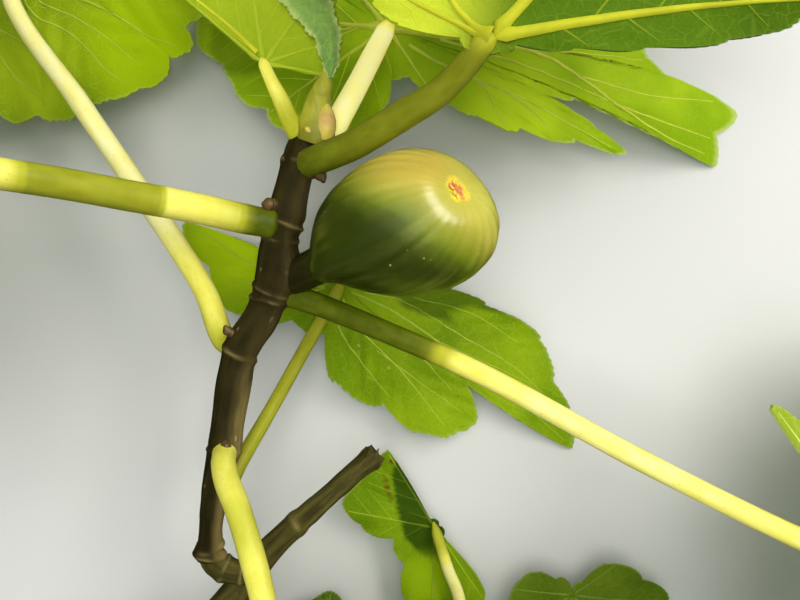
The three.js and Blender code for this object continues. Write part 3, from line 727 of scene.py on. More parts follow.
leaves = [
    {
        'at': (-117, 109.2, 28), 'midrib': -140, 'rise': -0.15, 'tilt': 0.02, 'droop': 14,
        'edge': [(-140, 108), (-128, 62), (-116, 52.5), (-105, 50), (-96, 53), (-86, 51), (-76, 54.5),
                 (-65, 53), (-50, 57), (-42, 60.5), (-37, 57.5), (-32, 63), (-27, 60), (-20, 62),
                 (10, 60), (30, 36), (60, 14), (90, 34), (125, 58), (152, 42), (178, 88), (198, 58)],
        'stalk': [(-44, -13, 49.5, 3.2), (-48.5, -10.5, 46.5, 3.4), (-54.6, 2.8, 44, 3.1),
                  (-78.6, 36.8, 38, 3.1), (-93.6, 57.6, 35, 3.0), (-115.8, 89.5, 31.5, 2.4),
                  (-117, 106.5, 30, 2.2)],
        'veins': [-140, -97, -50, -8, 122, 178], 'plain': [-97, -50, -8], 'spacing': 9, 'lean': 0.9,
        'vein': 1.1,
        'drawn': [
            (0.32, [(-92, 12), (-75.7, 23.1), (-61.5, 30.1), (-56.6, 38.1), (-55.5, 46),
                    (-53.1, 52.3)]),
            (0.36, [(-50, 20), (-38, 32.8), (-36, 43.4), (-35.4, 50), (-32.9, 58.1)]),
            (0.3, [(-80, 12), (-69.4, 19), (-51.8, 29.8), (-46.6, 40.4), (-45.2, 51)]),
            (0.26, [(-110, 30), (-93.5, 40.6), (-86, 44.4), (-80.8, 48.3)]),
            (0.3, [(-104.3, 26.6), (-79.6, 33.3), (-67.3, 46.6), (-65.2, 51.3)]),
            (0.24, [(-40, 14), (-27, 28), (-21, 42), (-18, 58)]),
            (0.9, [(-20, 4), (-12, 22), (-6, 40), (-2, 56)]),
            (0.9, [(-120, 6), (-108, 25), (-105, 46)]),
        ],
        'sun': [(0, 0.5), (0.12, 0.75), (0.3, 1), (1, 1)], 'seed': 4,
    },
    {
        'at': (-112, 27, 114), 'midrib': 184, 'rise': -0.34, 'tilt': 0.1, 'droop': 24, 'fold': (-6, -6),
        'edge': fullEdge(118, 184),
        'stalk': [(-32, 19.6, 55.5, 3.6), (-39.2, 20.6, 59, 3.9), (-49.1, 22.3, 66, 3.8),
                  (-59.3, 23.6, 74, 3.7), (-80.6, 25.5, 95, 3.3), (-109, 27, 114.5, 2.7)],
        'veins': [184, 232, 286, 136, 82, 35, 333], 'spacing': 11, 'lean': 0.7, 'vein': 1.6,
        'sun': [(0, 0), (0.055, 0.02), (0.085, 0.2), (0.11, 0.6), (0.18, 0.76), (0.281, 0.82),
                (0.299, 0.29), (0.575, 0.25), (0.6, 0.76), (1, 0.78)],
        'seed': 7,
    },
    {
        'at': (17.5, 50.3, 101), 'midrib': 52, 'rise': 0.12, 'tilt': 0.05, 'droop': 26,
        'edge': [(-60, 3), (-14, 5), (-6, 16), (-2, 30), (2, 48), (7, 66), (14, 98), (24, 84), (33, 56),
                 (52, 118), (70, 60), (96, 90), (118, 52), (146, 48), (158, 24), (170, 18), (177, 6),
                 (220, 3)],
        'stalk': [(-24.5, 35.6, 56, 3.4), (-21.2, 35.7, 60, 3.8), (-11, 37.8, 68, 3.7),
                  (0.9, 42.2, 78, 3.5), (8.2, 44.5, 86, 3.0), (13.3, 47.5, 94, 2.6),
                  (16.3, 49.6, 101, 2.4)],
        'veins': [10, 47, 98, 127, 152], 'plain': [98, 127, 152], 'spacing': 13, 'lean': 1.1,
        'vein': 1.2,
        'drawn': [
            (0.85, [(165, 0.4), (163, 3), (157.5, 5.8), (154, 17.3), (150, 45)]),
            (0.85, [(158, 0.4), (152, 2.5), (144.1, 5), (136.7, 10.6), (118, 30), (105, 54), (97, 84)]),
        ],
        'sun': [(0, 0.08), (0.3, 0.16), (0.8, 0.22), (0.93, 0.28), (1, 0.4)],
        'lift': 1.5, 'seed': 11,
    },
    {
        'at': (-3.6, 81.2, 30), 'midrib': -17, 'rise': 0.08, 'tilt': -0.03, 'droop': 30,
        'edge': [(-158, 50), (-150, 44), (-145, 45), (-130, 38), (-91, 22), (-86, 14.5), (-67, 16),
                 (-53, 24), (-44, 36), (-35, 50), (-28, 66), (-23.6, 83), (-22.4, 70), (-20.8, 53),
                 (-18.2, 61), (-17.5, 118), (-12.4, 114), (-8.4, 121), (-6.2, 114), (-5.2, 100),
                 (-4.8, 89), (-2, 84), (1, 80), (8, 92), (24, 62), (44, 92), (62, 50), (92, 76),
                 (120, 44), (152, 62), (176, 63), (187, 53), (195, 51)],
        'stalk': [(-21, 40, 54.5, 2.8), (-18.4, 43.5, 54, 3.1), (-15.4, 50.7, 50, 3.2),
                  (-11.9, 59.3, 45, 3.1), (-7.8, 70.5, 38, 3.0), (-4.4, 79.4, 32.6, 2.8)],
        'veins': [-12, -27, -56, -112, -148, 172, 128, 92, 44, 10], 'plain': [-12, -27], 'spacing': 9,
        'lean': 1.2, 'vein': 0.9,
        'drawn': [
            (0.8, [(-9.9, 0.4), (-9.9, 12.8), (-6.8, 34), (-8.5, 49.3), (-12.3, 61.1), (-15.8, 78.2),
                   (-17, 96), (-16.4, 111.4)]),
            (0.36, [(-11.8, 61), (-10.7, 83.6), (-6.5, 114.9)]),
            (0.32, [(-15.4, 76), (-14.5, 98), (-13.6, 112)]),
            (0.3, [(-7.6, 42), (-4.4, 62), (-3, 82)]),
            (0.45, [(-12.3, 15.9), (-13.6, 34.1), (-14.6, 56), (-15.4, 74)]),
            (0.5, [(-38, 8), (-35.1, 15.4), (-30, 28.8), (-26, 46.8), (-25.2, 62), (-24.6, 78)]),
            (0.34, [(-29, 28.8), (-32, 36), (-36.9, 42), (-38, 45)]),
            (0.28, [(-27, 40), (-28.5, 52), (-30, 58)]),
            (0.4, [(140, 3.4), (178, 10), (184.9, 15.5), (184, 40)]),
            (0.4, [(150, 2.6), (172, 9), (178.1, 14.6), (171, 27.5), (166, 52)]),
        ],
        'sun': [(0, 0.9), (0.2, 1), (0.85, 1), (1, 0.5)], 'glow': 1.0, 'seed': 15,
        'shaded': [(0.45, 1.5, [(-57, 104), (-55, 111), (-49, 115), (-40, 104), (-33, 96), (-43, 93),
                                (-53, 95)])],
    },
    {
        'at': (-34.2, 59.5, 62), 'midrib': 140, 'rise': 0.05, 'tilt': -0.12, 'droop': 10,
        'fold': (-128, 0),
        'edge': [(-60, 1.5), (-14, 2), (-11.5, 17), (2, 19), (21, 20.5), (36, 22), (60, 30), (90, 36),
                 (118, 48), (140, 58), (160, 38), (186, 24), (215, 18), (250, 5)],
        'stalk': [(-25.5, 41.5, 57, 2.3), (-28.1, 45.8, 58, 2.5), (-30.2, 50.7, 59.3, 2.2),
                  (-32.4, 55.2, 61, 1.7), (-33.9, 58.6, 62.6, 1.5)],
        'veins': [140, 98, 52, 16, -10, 190], 'spacing': 7, 'lean': 1.0, 'vein': 0.75, 'side': 0.6,
        'drawn': [(0.55, [(122, 3), (133, 12), (137, 24), (138, 52)])],
        'sun': [(0, 0.3), (0.3, 0.5), (0.6, 0.75), (1, 0.8)], 'glow': 0.5, 'faint': True, 'young': True,
        'seed': 19,
    },
    {
        'at': (108, -61, 80), 'midrib': -16, 'rise': -0.35, 'tilt': 0, 'droop': 34, 'fold': (-4, -4),
        'edge': [(-190, 8), (-166, 20), (-134, 34), (-106, 50), (-92, 40), (-62, 92), (-40, 58),
                 (-16, 118), (8, 58), (30, 94), (60, 42), (92, 50), (108, 34), (118, 36), (125.8, 46),
                 (129, 15)],
        'stalk': [(-30.5, 1.8, 51, 3.0), (-26.5, 0.4, 52, 3.2), (-21.7, -1.2, 53, 3.1),
                  (-8.1, -6.5, 56, 2.9), (20.1, -18.5, 62, 2.7), (57.5, -38.3, 70, 2.6),
                  (90.9, -54.3, 78, 2.5), (105.6, -60.3, 81, 2.3)],
        'veins': [-16, 30, 92, 125, -62, -106, -140], 'spacing': 11, 'lean': 0.7, 'vein': 1.5,
        'sun': [(0, 0), (0.2, 0.02), (0.26, 0.1), (0.32, 0.86), (0.5, 0.93), (1, 0.87)], 'seed': 23,
    },
    {
        'at': (-24, -104, 78), 'midrib': -76, 'rise': -0.3, 'tilt': 0, 'droop': 42, 'fold': (-5, -5),
        'edge': fullEdge(104, -76),
        'stalk': [(-47, -40.5, 50.5, 2.8), (-46, -42.4, 56, 3.2), (-43.8, -46, 60.8, 3.2),
                  (-40.1, -51, 65.5, 3.2), (-35.2, -62.2, 70, 3.1), (-31.4, -72, 74.4, 2.9),
                  (-24.8, -101, 79.8, 2.4)],
        'veins': [-76, -28, 26, 75, -124, -178, 131], 'spacing': 10, 'lean': 0.7, 'vein': 1.5,
        'sun': [(0, 0.68), (0.22, 0.7), (0.28, 0.58), (0.36, 0.58), (0.42, 0.7), (1, 0.68)], 'seed': 28,
    },
    {
        'at': (-19.5, 4.2, 11.5), 'midrib': -35, 'rise': 0.02, 'tilt': -0.02, 'droop': 16,
        'edge': [(-202, 57), (-189, 45), (-178, 42), (-164, 34), (-146, 19), (-129, 19), (-108, 16),
                 (-92, 31), (-70, 41), (-62, 54), (-46, 64), (-38, 53), (-35, 96), (-24, 79), (-15, 69),
                 (-7, 48), (-1, 37), (30, 42), (70, 37), (105, 20), (140, 8), (154, 27)],
        'stalk': [(-51.5, -57, 44.5, 1.9), (-48.6, -53, 42.6, 2.3), (-45.6, -46.4, 39, 2.2),
                  (-39, -33.3, 30, 2.1), (-28.5, -12.7, 19.5, 2.1), (-20.3, 2.8, 14.2, 2.0)],
        'veins': [-29, -55, -98, -160, 162, 30, 70], 'plain': [-29, -55, -98, -160, 162], 'spacing': 8,
        'lean': 1.3, 'vein': 0.8,
        'drawn': [
            (0.4, [(-12, 8), (-12.2, 19.9), (-21.9, 42.4), (-25.4, 66.4), (-31, 88.1)]),
            (0.5, [(-24.8, 4), (-24.8, 17.9), (-29.9, 41.6), (-31.7, 62.3), (-34.6, 92)]),
            (0.42, [(-80, 4), (-70.7, 11.4), (-54.4, 33.5), (-53.4, 57)]),
            (0.26, [(-47.4, 17), (-41, 33.3), (-43, 50)]),
            (0.32, [(-113.4, 4.6), (-90.7, 14), (-74, 26), (-66, 40)]),
            (0.26, [(-8.1, 24), (-11.3, 44), (-17.4, 62)]),
            (0.34, [(164.5, 5), (164.5, 31.3), (159.5, 45.1), (158.6, 54)]),
            (0.34, [(178.4, 5), (178.4, 26), (175, 38)]), (0.3, [(-178, 5), (-165, 20), (-160, 30)]),
            (0.2, [(-60, 24), (-50, 42), (-46, 58)]), (0.2, [(-29, 38), (-27.4, 60), (-27, 74)]),
        ],
        'sun': [(0, 0.3), (0.5, 0.33), (0.85, 0.33), (1, 0.45)], 'seed': 33,
        'shaded': [(0.7, 1.2, [(2, 26), (6, 20.2), (14, 17.4), (21, 15.6), (20.2, 19.5), (28, 21),
                               (38, 18.4), (40, 22), (20, 32)])],
    },
    {
        'at': (11.3, -74.3, 12.5), 'midrib': 150, 'rise': -0.02, 'tilt': -0.05, 'droop': 12,
        'edge': [(-238.5, 29.5), (-210, 28.5), (-194, 31), (-181, 24), (-163, 14), (-128, 16),
                 (-107, 27), (-90, 40), (-72, 36), (-54, 28), (-49, 21), (-46, 4), (20, 1.5), (118, 3)],
        'stalk': [(13.5, -145.5, 7.5, 1.7), (17, -128, 12, 1.9), (19.4, -98, 15.6, 2.0),
                  (15.2, -85.9, 15.8, 1.9), (11.9, -75.6, 15, 1.7)],
        'veins': [122, 170, -92, -56], 'spacing': 7, 'lean': 1.1, 'vein': 0.5, 'side': 0.6,
        'sun': [(0, 1), (0.82, 0.95), (0.92, 0.4), (1, 0.3)], 'young': True, 'faint': True, 'seed': 38,
        'shaded': [(1.0, 0.6, [(3.4, -28), (10.6, -37.5), (16.4, -46.0), (20, -51.0), (17.6, -61.5),
                               (11.9, -61), (6.0, -54.8), (3.4, -45), (1.8, -34)])],
    },
    {
        'at': (55.6, -95.1, 15), 'midrib': -84, 'rise': -0.1, 'tilt': 0, 'droop': 30, 'fold': (8, 8),
        'edge': [(-198, 18), (-176, 21), (-150, 26), (-128, 24), (-110, 40), (-98, 30), (-84, 52),
                 (-66, 30), (-52, 42), (-36, 26), (-2, 31), (14, 23), (44, 15), (57, 5), (95, 1.5),
                 (136, 8), (146, 14)],
        'stalk': [(37, -148.5, 7, 1.4), (42, -136, 9, 1.6), (52, -112, 11.4, 1.5),
                  (55, -97.5, 12.4, 1.3)],
        'veins': [-84, -52, -4, 38, -112, -152, 172], 'spacing': 5, 'lean': 0.8, 'vein': 0.5,
        'side': 0.7,
        'sun': [(0, 0.7), (1, 0.9)], 'young': True, 'upperSide': True, 'seed': 42,
    },
    {
        'at': (-26.7, -115, 12), 'midrib': 78, 'rise': -0.05, 'tilt': 0.05, 'droop': 40, 'fold': (6, 6),
        'edge': [(-86, 3), (-60, 14), (-30, 17), (-14, 12), (20, 20), (52, 15), (78, 19), (106, 15),
                 (140, 19), (170, 12), (196, 16), (232, 14)],
        'stalk': [(-34, -138, 9.5, 1.2), (-31, -129, 11, 1.3), (-27.4, -117, 10.4, 1.1)],
        'veins': [78, 20, -30, 140, 200], 'spacing': 4, 'lean': 0.8, 'vein': 0.5,
        'sun': [(0, 0.7), (1, 0.9)], 'young': True, 'upperSide': True, 'seed': 47,
    },
]

bladeLook = {
    'marginStep': 0.7,       # mm between two points of a margin
    'rings': 24,
    'youngRings': 20,
    'thickness': 0.75,
    'youngThickness': 0.55,
    'toothHeight': 0.75,
    'toothLength': 2.5,
    'youngTeeth': 0.55,      # size of a young leaf's teeth and of its margin's steps
    'puff': 0.75,            # how far the blade bulges between its side veins
    'puffFrom': 12,          # how far from the junction it bulges in full
    'crease': 5,             # and how far from a main vein
    'wave': 1.1,             # how far the margin waves
    'waveFrom': 25,
    'youngPuff': 0.5,        # share of both on a young leaf
}


def spokesOf(leaf):
    # direction and reach of every point of the margin
    size = bladeLook['youngTeeth'] if leaf.get('young') else 1
    step = bladeLook['marginStep'] * size
    edge = leaf['edge'] + [(leaf['edge'][0][0] + 360, leaf['edge'][0][1])]
    spokes = []
    for (direction, reach), (toward, far) in zip(edge, edge[1:]):
        arc = math.radians(toward - direction) * (reach + far) / 2
        steps = max(2, math.ceil(math.hypot(arc, far - reach) / step))
        for part in np.arange(steps) / steps:
            turn = part * math.pi / 2
            if far > reach:
                here = reach + (far - reach) * math.sin(turn)
            else:
                here = far + (reach - far) * math.cos(turn)
            spokes.append((direction + (toward - direction) * part, here))
    spokes = np.array(spokes)
    turn = np.radians(spokes[:, 0])
    arc = lengthsAlong(np.stack([spokes[:, 1] * np.cos(turn), spokes[:, 1] * np.sin(turn)], 1))
    track = np.stack([arc, arc * 0, arc * 0 + leaf['seed']], 1)
    uneven = softNoise(track, 11.0, leaf['seed'])
    lobed = softNoise(track, 4.5, leaf['seed'] + 1)
    beat = math.pi * (arc + 2.5 * uneven) / (bladeLook['toothLength'] * size)
    tooth = np.abs(np.sin(beat)) - 0.65 + 1.3 * lobed
    height = bladeLook['toothHeight'] * size * (0.8 + 0.5 * uneven)
    spokes[:, 1] += tooth * height * ease(spokes[:, 1], 7, 20)
    return spokes


def reachAt(leaf, direction):
    spokes = leaf['spokes']
    start = spokes[0, 0]
    wrapped = (np.asarray(direction, float) - start) % 360 + start
    ends = np.vstack([spokes, [start + 360, spokes[0, 1]]])
    return np.interp(wrapped, ends[:, 0], ends[:, 1])


def softReach(leaf, direction):
    # the reach of the margin without its narrow notches
    return np.mean([reachAt(leaf, direction + turn) for turn in (-14, -7, 0, 7, 14)], axis=0)


def sectorsOf(leaf):
    # the main veins in order, and the direction where each one's lobe gives way to the next
    veins = sorted(vein % 360 for vein in leaf['veins'])
    bounds = []
    for vein, following in zip(veins, veins[1:] + [veins[0] + 360]):
        gap = following - vein
        inner = np.linspace(vein + 0.3 * gap, following - 0.3 * gap, 31)
        bounds.append(inner[reachAt(leaf, inner).argmin()])
    return np.array(veins), np.array(bounds)


def lobePlace(leaf, direction, distance):
    veins, bounds = leaf['sectors']
    turned = (np.asarray(direction, float) - bounds[-1] + 360) % 360 + bounds[-1] - 360
    lobe = np.searchsorted(bounds[:-1], turned)
    turn = np.radians((turned - veins[lobe] + 180) % 360 - 180)
    return lobe, distance * np.cos(turn), distance * np.sin(turn)


def surface(leaf, direction, distance):
    # points of the blade's middle surface
    direction = np.asarray(direction, float)
    distance = np.asarray(distance, float)
    turn = np.radians(direction - leaf['midrib'])
    ahead = distance * np.cos(turn)
    beside = distance * np.sin(turn)
    fold = np.radians(np.where(beside > 0, *leaf.get('fold', (0, 0))))
    aside = beside * np.cos(fold)
    height = (leaf['at'][2] + leaf['rise'] * ahead + leaf['tilt'] * aside
              + np.abs(beside) * np.sin(fold) - leaf['droop'] * (distance / 100) ** 2)
    lobe, along, across = lobePlace(leaf, direction, distance)
    part = np.clip(distance / np.maximum(softReach(leaf, direction), 1), 0, 1.1)
    phase = (along - leaf['lean'] * np.abs(across)) / leaf['spacing'] + 0.5 * (across > 0)
    puff = np.sin(math.pi * phase) ** 2 * np.clip(np.abs(across) / bladeLook['crease'], 0, 1)
    puff = puff * (1 - np.minimum(part, 1) ** 6)
    side = 1 if leaf.get('upperSide') else -1
    size = bladeLook['youngPuff'] if leaf.get('young') else 1
    puff = puff * np.clip(distance / bladeLook['puffFrom'], 0, 1)
    height = height + side * bladeLook['puff'] * size * puff
    angle = np.radians(direction)
    wave = sum(share * np.sin(beats * angle + (at + 1) * leaf['seed'])
               for at, (beats, share) in enumerate(((7, 1), (13, 0.6), (23, 0.4))))
    wave = wave * part ** 3 * np.clip(distance / bladeLook['waveFrom'], 0, 1)
    height = height + bladeLook['wave'] * size * wave
    height = leaf['half'] + floorEase * np.logaddexp(0, (height - leaf['half']) / floorEase)
    midrib = math.radians(leaf['midrib'])
    return np.stack([
        leaf['at'][0] - middle[0] + ahead * math.cos(midrib) - aside * math.sin(midrib),
        leaf['at'][1] - middle[1] + ahead * math.sin(midrib) + aside * math.cos(midrib),
        height,
    ], -1)


def surfaceNormal(leaf, direction, distance):
    step = 0.6
    turn = np.degrees(step / np.maximum(distance, step))
    inner = np.maximum(distance - step, 0)
    outward = surface(leaf, direction, distance + step) - surface(leaf, direction, inner)
    around = surface(leaf, direction + turn, distance) - surface(leaf, direction - turn, distance)
    return unit(np.cross(outward, around))


veinLook = {
    'sides': 6,
    'raised': 0.15,          # share of its radius that a vein's middle stands above the blade
    'flat': 0.8,
    'flare': 0.4,            # how much wider at the junction, as a share of the stalk's radius
    'flareReach': 2.6,
    'liftReach': 3.2,
    'drawnTip': 0.1,         # radii of the tips
    'mainTip': 0.16,
    'sideTip': 0.06,
    'stop': 0.97,            # share of the blade's reach at which a vein ends
    'curl': 0.012,           # how much a side vein bends forward
}


# Raised veins, gathered as tapering tubes for one mesh
def veinTubes(leaf, lines):
    sides = veinLook['sides']
    points, faces, tints = [], [], []
    start = 0
    lift = leaf.get('lift', 0)
    turn = 2 * math.pi * np.arange(sides) / sides
    for direction, distance, radius, tint in lines:
        normal = surfaceNormal(leaf, direction, distance)
        raised = leaf['half'] + radius * veinLook['raised']
        raised = raised + lift * ridge(distance, 0, veinLook['liftReach'])
        centre = surface(leaf, direction, distance) + normal * raised[:, None]
        beside = np.cross(unit(np.gradient(centre, axis=0)), normal)
        rings = (centre[:, None] + radius[:, None, None] * (
            beside[:, None] * np.cos(turn)[None, :, None]
            + veinLook['flat'] * normal[:, None] * np.sin(turn)[None, :, None]))
        rings[:, :, 2] = np.maximum(rings[:, :, 2], 0.02)
        points.append(rings.reshape(-1, 3))
        end = start + len(centre) * sides
        faces += [(b, a, a + sides, b + sides) for a, b in gridCells(len(centre), sides, True, start)]
        faces += [tuple(range(start, start + sides)), tuple(reversed(range(end - sides, end)))]
        tints += [tint] * (len(faces) - len(tints))
        start = end
    return np.concatenate(points), faces, tints


def drawnVeins(leaf):
    for root, knots in leaf.get('drawn', []):
        turn = np.radians([knot[0] for knot in knots])
        reach = np.array([knot[1] for knot in knots])
        plan = np.stack([reach * np.cos(turn), reach * np.sin(turn)], 1) + middle
        path = smoothLine([(x, y, 0, root) for x, y in plan], 9)
        direction = np.degrees(np.arctan2(path[:, 1], path[:, 0]))
        distance = np.hypot(path[:, 0], path[:, 1])
        outside = distance > veinLook['stop'] * reachAt(leaf, direction)
        stop = max(int(outside.argmax()), 4) if outside.any() else len(path)
        part = np.linspace(0, 1, len(path))
        taper = (root - veinLook['drawnTip']) * (1 - part) ** 0.8
        radius = veinLook['drawnTip'] + taper + flare(leaf, distance)
        yield direction[:stop], distance[:stop], radius[:stop], 0


def flare(leaf, distance):
    return veinLook['flare'] * leaf['stalk'][-1][3] * ridge(distance, 0, veinLook['flareReach'])


def sideVeins(leaf, number, vein, reach):
    spacing = leaf['spacing']
    for place in range(1, int(reach / spacing) + 1):
        for side in (1, -1):
            begin = spacing * (place - (0.5 if side > 0 else 0.0))
            if not 0.08 * reach <= begin <= 0.93 * reach:
                continue
            across = np.arange(0, 70, 1.2)
            along = begin + leaf['lean'] * across + veinLook['curl'] * across ** 2
            distance = np.hypot(along, across)
            direction = vein + side * np.degrees(np.arctan2(across, along))
            lobe = lobePlace(leaf, direction, distance)[0]
            inside = (distance < veinLook['stop'] * reachAt(leaf, direction)) & (lobe == number)
            stop = len(across) if inside.all() else int(inside.argmin())
            if stop < 5:
                continue
            root = (0.16 + 0.12 * leaf['vein'] * (1 - begin / reach)) * leaf.get('side', 1)
            taper = (root - veinLook['sideTip']) * (1 - np.linspace(0, 1, stop)) ** 0.8
            yield direction[:stop], distance[:stop], veinLook['sideTip'] + taper, 1


def veinLines(leaf):
    # each vein's directions, distances and radii, and which of the two tints it has
    lines = list(drawnVeins(leaf))
    for number, vein in enumerate(leaf['sectors'][0]):
        if any(abs((vein - plain + 180) % 360 - 180) < 1 for plain in leaf.get('plain', [])):
            continue
        reach = float(reachAt(leaf, vein))
        length = 0.96 * reach
        part = np.linspace(0, 1, max(8, int(length / 2.5)))
        root = leaf['vein'] * min(1, 0.45 + reach / 110)
        taper = (root - veinLook['mainTip']) * (1 - part) ** 1.25
        radius = veinLook['mainTip'] + taper + flare(leaf, length * part)
        lines.append((vein + 0 * part, length * part, radius, 1 if leaf.get('faint') else 0))
        lines += sideVeins(leaf, number, vein, reach)
    return lines


def shadeOn(leaf, points):
    # how deeply each point lies in a painted shadow
    total = np.zeros(len(points))
    for share, soft, polygon in leaf.get('shaded', []):
        total = np.maximum(total, share * within(points, polygon, soft))
    return total


def bladeMesh(leaf, name, finishes):
    spokes = leaf['spokes']
    rings = bladeLook['youngRings' if leaf.get('young') else 'rings']
    parts = np.linspace(0, 1, rings + 1)[1:] ** 0.85
    count = len(spokes)
    direction = np.tile(spokes[:, 0], rings)
    distance = (parts[:, None] * spokes[None, :, 1]).ravel()
    centre = surface(leaf, np.array([leaf['midrib']]), np.array([0.0]))
    points = np.vstack([surface(leaf, direction, distance), centre])
    faces = [(a, a + count, b + count, b) for a, b in gridCells(rings, count)]
    faces += [(rings * count, side, (side + 1) % count) for side in range(count)]
    piece = meshPiece(name, points, faces, finishes)
    turn = np.radians(direction - leaf['midrib'])
    plan = np.stack([distance * np.cos(turn), distance * np.sin(turn)], 1)
    uvMap(piece, 'leafPlace', np.vstack([plan, [0, 0]]) * mapScale)
    tell(piece, 'rim', np.append(np.repeat(parts, count), 0.0))
    tell(piece, 'shade', shadeOn(leaf, points))
    applyModifier(piece, 'SOLIDIFY', thickness=2 * leaf['half'] * mm, offset=0.0)
    return piece


def leafPiece(number, finishes):
    leaf = leaves[number - 1]
    name = f'leaf_{number}_blade'
    leaf['half'] = bladeLook['youngThickness' if leaf.get('young') else 'thickness'] / 2
    leaf['spokes'] = spokesOf(leaf)
    leaf['sectors'] = sectorsOf(leaf)
    blade = bladeMesh(leaf, name, finishes)
    points, faces, tints = veinTubes(leaf, veinLines(leaf))
    veins = meshPiece(f'leaf_{number}_veins', points, faces, finishes)
    veins.data.uv_layers.new(name='leafPlace')
    veins.data.polygons.foreach_set('material_index', np.array(tints) + 1)
    tell(veins, 'rim', np.zeros(len(points)))
    tell(veins, 'shade', shadeOn(leaf, points))
    return joined([blade, veins], name)


stalkLook = {
    'steps': 14,
    'sides': 7,
    'groove': 0.1,           # height of its soft grooves
    'foot': 0.35,            # height and width of the swelling at its foot
    'footWidth': 1.6,
    # beyond the junction: how far on and how far down in radii, and the radius as a share
    'ends': ((1.1, 0.45, 0.7), (2.2, 0.7, 0.25)),
}


def stalkPiece(number):
    leaf = leaves[number - 1]
    # the stalk runs on a little and ends round inside the junction of the veins
    last, radius = np.array(leaf['stalk'][-1][:3]), leaf['stalk'][-1][3]
    ahead = last - leaf['stalk'][-2][:3]
    run = radius * ahead / np.linalg.norm(ahead) * [1, 1, 0]
    ends = [(*(last + far * run - [0, 0, down * radius]), share * radius)
            for far, down, share in stalkLook['ends']]
    name = f'leaf_stalk_{number}_skin'
    line = leaf['stalk'] + ends
    piece, path = limbMesh(name, line, stalkLook['steps'], stalkLook['sides'], [stalkSkin])
    points = places(piece)
    along, around, out, tangent, length = whereOn(points, path)
    rise = stalkLook['groove'] * roundNoise(around, 2.6, along * 0.08, number, (2, 0, 1))
    rise += stalkLook['foot'] * ridge(along, stalkLook['footWidth'], stalkLook['footWidth'])
    rise -= 0.5 * leaf['stalk'][0][3] * (1 - ease(along, -0.4, 1.7))
    points = points + out * rise[:, None]
    putPlaces(piece, points)
    uvMap(piece, 'limbPlace', np.stack([along, np.abs(around) * 3.0], 1) * mm)
    # painted light and shade along the stalk, by its leaf's sun stops
    stops = np.array(leaf['sun'])
    tell(piece, 'sun', np.interp(along / length, stops[:, 0], stops[:, 1]))
    # how far each point faces the light, for the painted shade
    tell(piece, 'upside', out @ np.array([-0.2, 0.55, 0.6]))
    tell(piece, 'glow', np.full(len(points), leaf.get('glow', 0.0)))
    return piece


print('leaves')

brown = rgb(104, 66, 22)
leafSkins = {
    # tints of the lit and the deep blade, of the main and of the side veins, then what is special
    # the tints are partly painted light: each leaf is set brighter or darker for how lit it is, leaf 3
    # darker as it faces the lamps, leaf 4 and its veins brighter in the shade of others
    1: [(164, 188, 24), (138, 166, 10), (186, 204, 72), (178, 198, 56), {
        'net': 0.3, 'paintedLight': [(rgb(184, 206, 34), (-110.7, 91, 28), 14, 0.6),
                                (rgb(176, 204, 14), (-74.4, 101.7, 28), 16, 0.6)]}],
    2: [(160, 190, 38), (128, 164, 16), (206, 212, 96), (180, 196, 66), {'net': 0.3}],
    3: [(82, 116, 7), (69, 101, 5), (190, 192, 42), (122, 144, 24), {
        'net': 0.08, 'rim': 0.1, 'paintedLight': [(rgb(192, 204, 50), (6, 80, 104), 14, 0.75)]}],
    4: [(184, 214, 28), (148, 186, 12), (220, 230, 84), (206, 224, 66), {
        'net': 0.2, 'rim': 0.8, 'paintedLight': [(rgb(208, 234, 40), (38, 80, 24), 16, 0.5)],
        'marks': [(brown, (24.5, 80.5, 24), 2.2), (brown, (21, 81.2, 25), 1.6)]}],
    5: [(174, 194, 36), (140, 170, 22), (216, 216, 54), (182, 200, 48), {'net': 0.1, 'rim': 0.1}],
    6: [(164, 184, 60), (142, 168, 36), (206, 212, 96), (180, 196, 66), {'net': 0.3}],
    7: [(160, 190, 38), (128, 164, 16), (206, 212, 96), (180, 196, 66), {'net': 0.3}],
    8: [(152, 182, 16), (118, 152, 7), (178, 200, 62), (168, 194, 48), {
        'net': 0.18, 'paintedLight': [(rgb(184, 212, 20), (-52, 41, 10), 14, 0.5)],
        'marks': [(rgb(84, 66, 16), (23.7, -9.2, 9), 0.5), (rgb(210, 214, 150), (-9.3, 8, 10.5), 0.7),
                  (rgb(196, 196, 60), (0.8, 0.8, 10.5), 0.8),
                  (rgb(190, 190, 60), (3.6, 0.4, 10), 0.6)]}],
    9: [(140, 172, 16), (108, 142, 9), (170, 190, 60), (160, 184, 44), {
        'net': 0.12, 'paintedLight': [(rgb(164, 196, 18), (13.2, -69.3, 12), 8, 0.6)],
        'marks': [(brown, (x, y, 12.5), radius) for x, y, radius in (
            (-0.8, -34.5, 1.0), (-0.4, -36.5, 1.2), (0.2, -38.5, 1.2), (0.8, -40.5, 1.0),
            (-2.2, -31.0, 1.2), (1.2, -42.5, 1.2), (1.6, -30.0, 0.9))]}],
    10: [(102, 126, 22), (74, 100, 12), (124, 142, 54), (98, 120, 34), {
        'net': 0.25, 'through': 0.2, 'line': rgb(120, 138, 54)}],
    11: [(96, 122, 28), (70, 98, 16), (140, 160, 60), (116, 142, 40), {
        'net': 0.3, 'through': 0.2, 'line': rgb(150, 166, 70)}],
}
